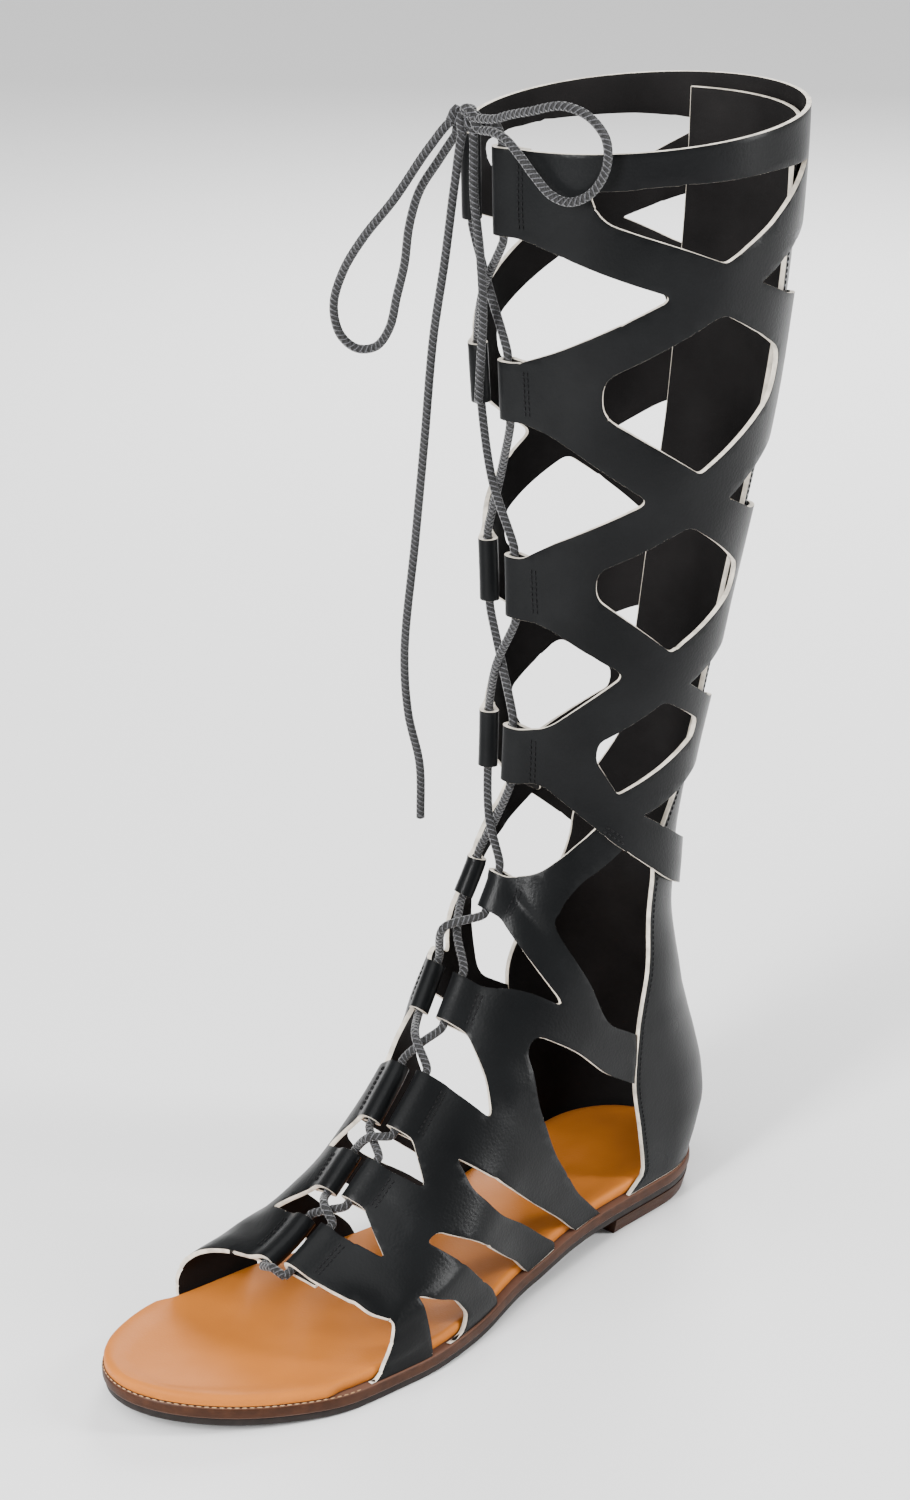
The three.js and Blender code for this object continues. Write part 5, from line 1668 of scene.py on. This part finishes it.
class SANDAL_OT_leg_straps(bpy.types.Operator):
    """Crossing straps of the leg, cut from one piece of leather, with their folded tabs"""

    bl_idname = "sandal.leg_straps"
    bl_label = "Leg straps"

    def execute(self, context):
        sizes = context.scene.sandal_sizes
        piece = leather_sheet(
            "leg_straps", leg_outlines(), 0, UNDERLAY + WALL / 2, sizes.wall / MM, sizes.edge_round / MM,
            [FINISHES[name] for name in ("outside", "lining", "raw")])
        finished(piece, ["upper"], "upper")
        return {"FINISHED"}


class SANDAL_OT_foot_straps(bpy.types.Operator):
    """Instep, ankle and toe straps of the outer and the inner side"""

    bl_idname = "sandal.foot_straps"
    bl_label = "Foot straps"

    def execute(self, context):
        sizes = context.scene.sandal_sizes
        for side, name in ((1, "foot_straps_outer"), (-1, "foot_straps_inner")):
            piece = leather_sheet(
                name, foot_outlines(side), side, WALL / 2, sizes.wall / MM, sizes.edge_round / MM,
                [FINISHES[part] for part in ("outside", "lining", "raw")])
            finished(piece, ["upper"], "upper")
        return {"FINISHED"}


class SANDAL_OT_heel_counter(bpy.types.Operator):
    """Closed heel counter with the back panel above it"""

    bl_idname = "sandal.heel_counter"
    bl_label = "Heel counter"

    def execute(self, context):
        sizes = context.scene.sandal_sizes
        fresh()
        bpy.ops.mesh.primitive_grid_add(x_subdivisions=48, y_subdivisions=150, size=2)
        piece = context.object
        piece.name = "heel_counter_leather"
        piece.data.name = "heel_counter_leather"
        grid = coordinates(piece.data)
        top = float(level_point(COLLAR_HEIGHT, 1, 1)[2]) - PANEL_TOP
        z = HEEL_TOP + GAP + (top - HEEL_TOP - GAP) * (grid[:, 1] + 1) / 2
        start = panel_front(z)
        side = np.where(grid[:, 0] >= 0, 1.0, -1.0)
        t = 1 - (1 - start) * np.abs(grid[:, 0])
        low = smooth((INSTEP_HEIGHT * 0.8 - z) / 40)
        wear = (0.10 + 0.2 * low) * np.sin(z / 19) * np.sin(grid[:, 0] * 5)
        wear = wear * smooth((1 - np.abs(grid[:, 0])) * 4)
        places = level_skin(z, t, side, panel_depth(z) + wear)
        places[:, 2] = z
        reshape(piece, places)
        active(piece)
        bpy.ops.object.mode_set(mode="EDIT")
        bpy.ops.mesh.select_all(action="SELECT")
        bpy.ops.mesh.normals_make_consistent(inside=False)
        bpy.ops.object.mode_set(mode="OBJECT")
        normals = np.empty(len(piece.data.vertices) * 3)
        piece.data.vertices.foreach_get("normal", normals)
        out = coordinates(piece.data)
        if np.sum(normals.reshape(-1, 3)[:, :2] * out[:, :2]) < 0:
            active(piece)
            bpy.ops.object.mode_set(mode="EDIT")
            bpy.ops.mesh.select_all(action="SELECT")
            bpy.ops.mesh.flip_normals()
            bpy.ops.object.mode_set(mode="OBJECT")
        thicken(piece, sizes.wall / MM, sizes.edge_round / MM,
                [FINISHES[part] for part in ("counter", "lining", "raw")])
        finished(piece, ["heel_counter"], "heel_counter")
        return {"FINISHED"}


class SANDAL_OT_sole(bpy.types.Operator):
    """Footbed, midsole, bottom layer and heel block"""

    bl_idname = "sandal.sole"
    bl_label = "Sole"

    def execute(self, context):
        rounded_edge = [(0, 0.5), (0.10, 0.12), (0.22, 0), (0.78, 0), (0.90, 0.12), (1, 0.5)]
        midsole = sole_layer(
            "midsole_edge", 6, plan_place(rounded_edge, lambda x: ground(x) + OUTSOLE, feather))
        finished(midsole, ["midsole"], "midsole", FINISHES["midsole"])
        thin = [(0, OUTSOLE_INSET + 0.5), (0.14, OUTSOLE_INSET + 0.1), (0.28, OUTSOLE_INSET),
                (0.80, OUTSOLE_INSET), (1, OUTSOLE_INSET + 0.3)]
        outsole = sole_layer(
            "bottom_layer", 5, plan_place(thin, ground, lambda x: ground(x) + OUTSOLE - 0.05))
        finished(outsole, ["outsole"], "outsole", FINISHES["outsole"])
        heel = sole_layer("heel_block", 4, heel_place, stations=60)
        finished(heel, ["heel"], "heel", FINISHES["heel"])
        bed = sole_layer("footbed_leather", 6, footbed_place, columns=24)
        finished(bed, ["footbed"], "footbed", FINISHES["footbed"])
        return {"FINISHED"}


class SANDAL_OT_stitches(bpy.types.Operator):
    """Stitches of the tabs, the hem at the ankle and the counter's edge"""

    bl_idname = "sandal.stitches"
    bl_label = "Stitches"

    def execute(self, context):
        piece = stitches("strap_stitches", tab_rows() + hem_rows())
        finished(piece, [], "upper", FINISHES["thread"])
        piece = stitches("counter_stitches", counter_rows())
        finished(piece, [], "heel_counter", FINISHES["thread"])
        piece = stitches("welt_stitches", welt_rows(), length=2.0, width=0.5, pitch=2.7)
        finished(piece, [], "footbed", FINISHES["welt thread"])
        return {"FINISHED"}


class SANDAL_PT_panel(bpy.types.Panel):
    bl_label = "Gladiator sandal"
    bl_idname = "SANDAL_PT_panel"
    bl_space_type = "VIEW_3D"
    bl_region_type = "UI"
    bl_category = "Sandal"

    def draw(self, context):
        scene = context.scene
        for name in ("wall", "edge_round", "lace"):
            self.layout.prop(scene.sandal_sizes, name)
        for name in ("leather", "raw_edge", "footbed", "midsole", "outsole", "lace"):
            self.layout.prop(scene.sandal_colours, name)
        for step in STEPS:
            self.layout.operator(step.bl_idname)


STEPS = (
    SANDAL_OT_stage,
    SANDAL_OT_bow,
    SANDAL_OT_lace,
    SANDAL_OT_leg_straps,
    SANDAL_OT_foot_straps,
    SANDAL_OT_heel_counter,
    SANDAL_OT_sole,
    SANDAL_OT_stitches,
)
CLASSES = (SandalSizes, SandalColours, *STEPS, SANDAL_PT_panel)


def register():
    for each in CLASSES:
        bpy.utils.register_class(each)
    bpy.types.Scene.sandal_sizes = bpy.props.PointerProperty(type=SandalSizes)
    bpy.types.Scene.sandal_colours = bpy.props.PointerProperty(type=SandalColours)


def unregister():
    del bpy.types.Scene.sandal_colours
    del bpy.types.Scene.sandal_sizes
    for each in reversed(CLASSES):
        bpy.utils.unregister_class(each)


def main():
    register()
    make_finishes(bpy.context.scene.sandal_colours)
    bpy.ops.sandal.stage()
    bpy.ops.sandal.bow()
    bpy.ops.sandal.lace()
    bpy.ops.sandal.leg_straps()
    bpy.ops.sandal.foot_straps()
    bpy.ops.sandal.heel_counter()
    bpy.ops.sandal.sole()
    bpy.ops.sandal.stitches()


if __name__ == "__main__":
    main()
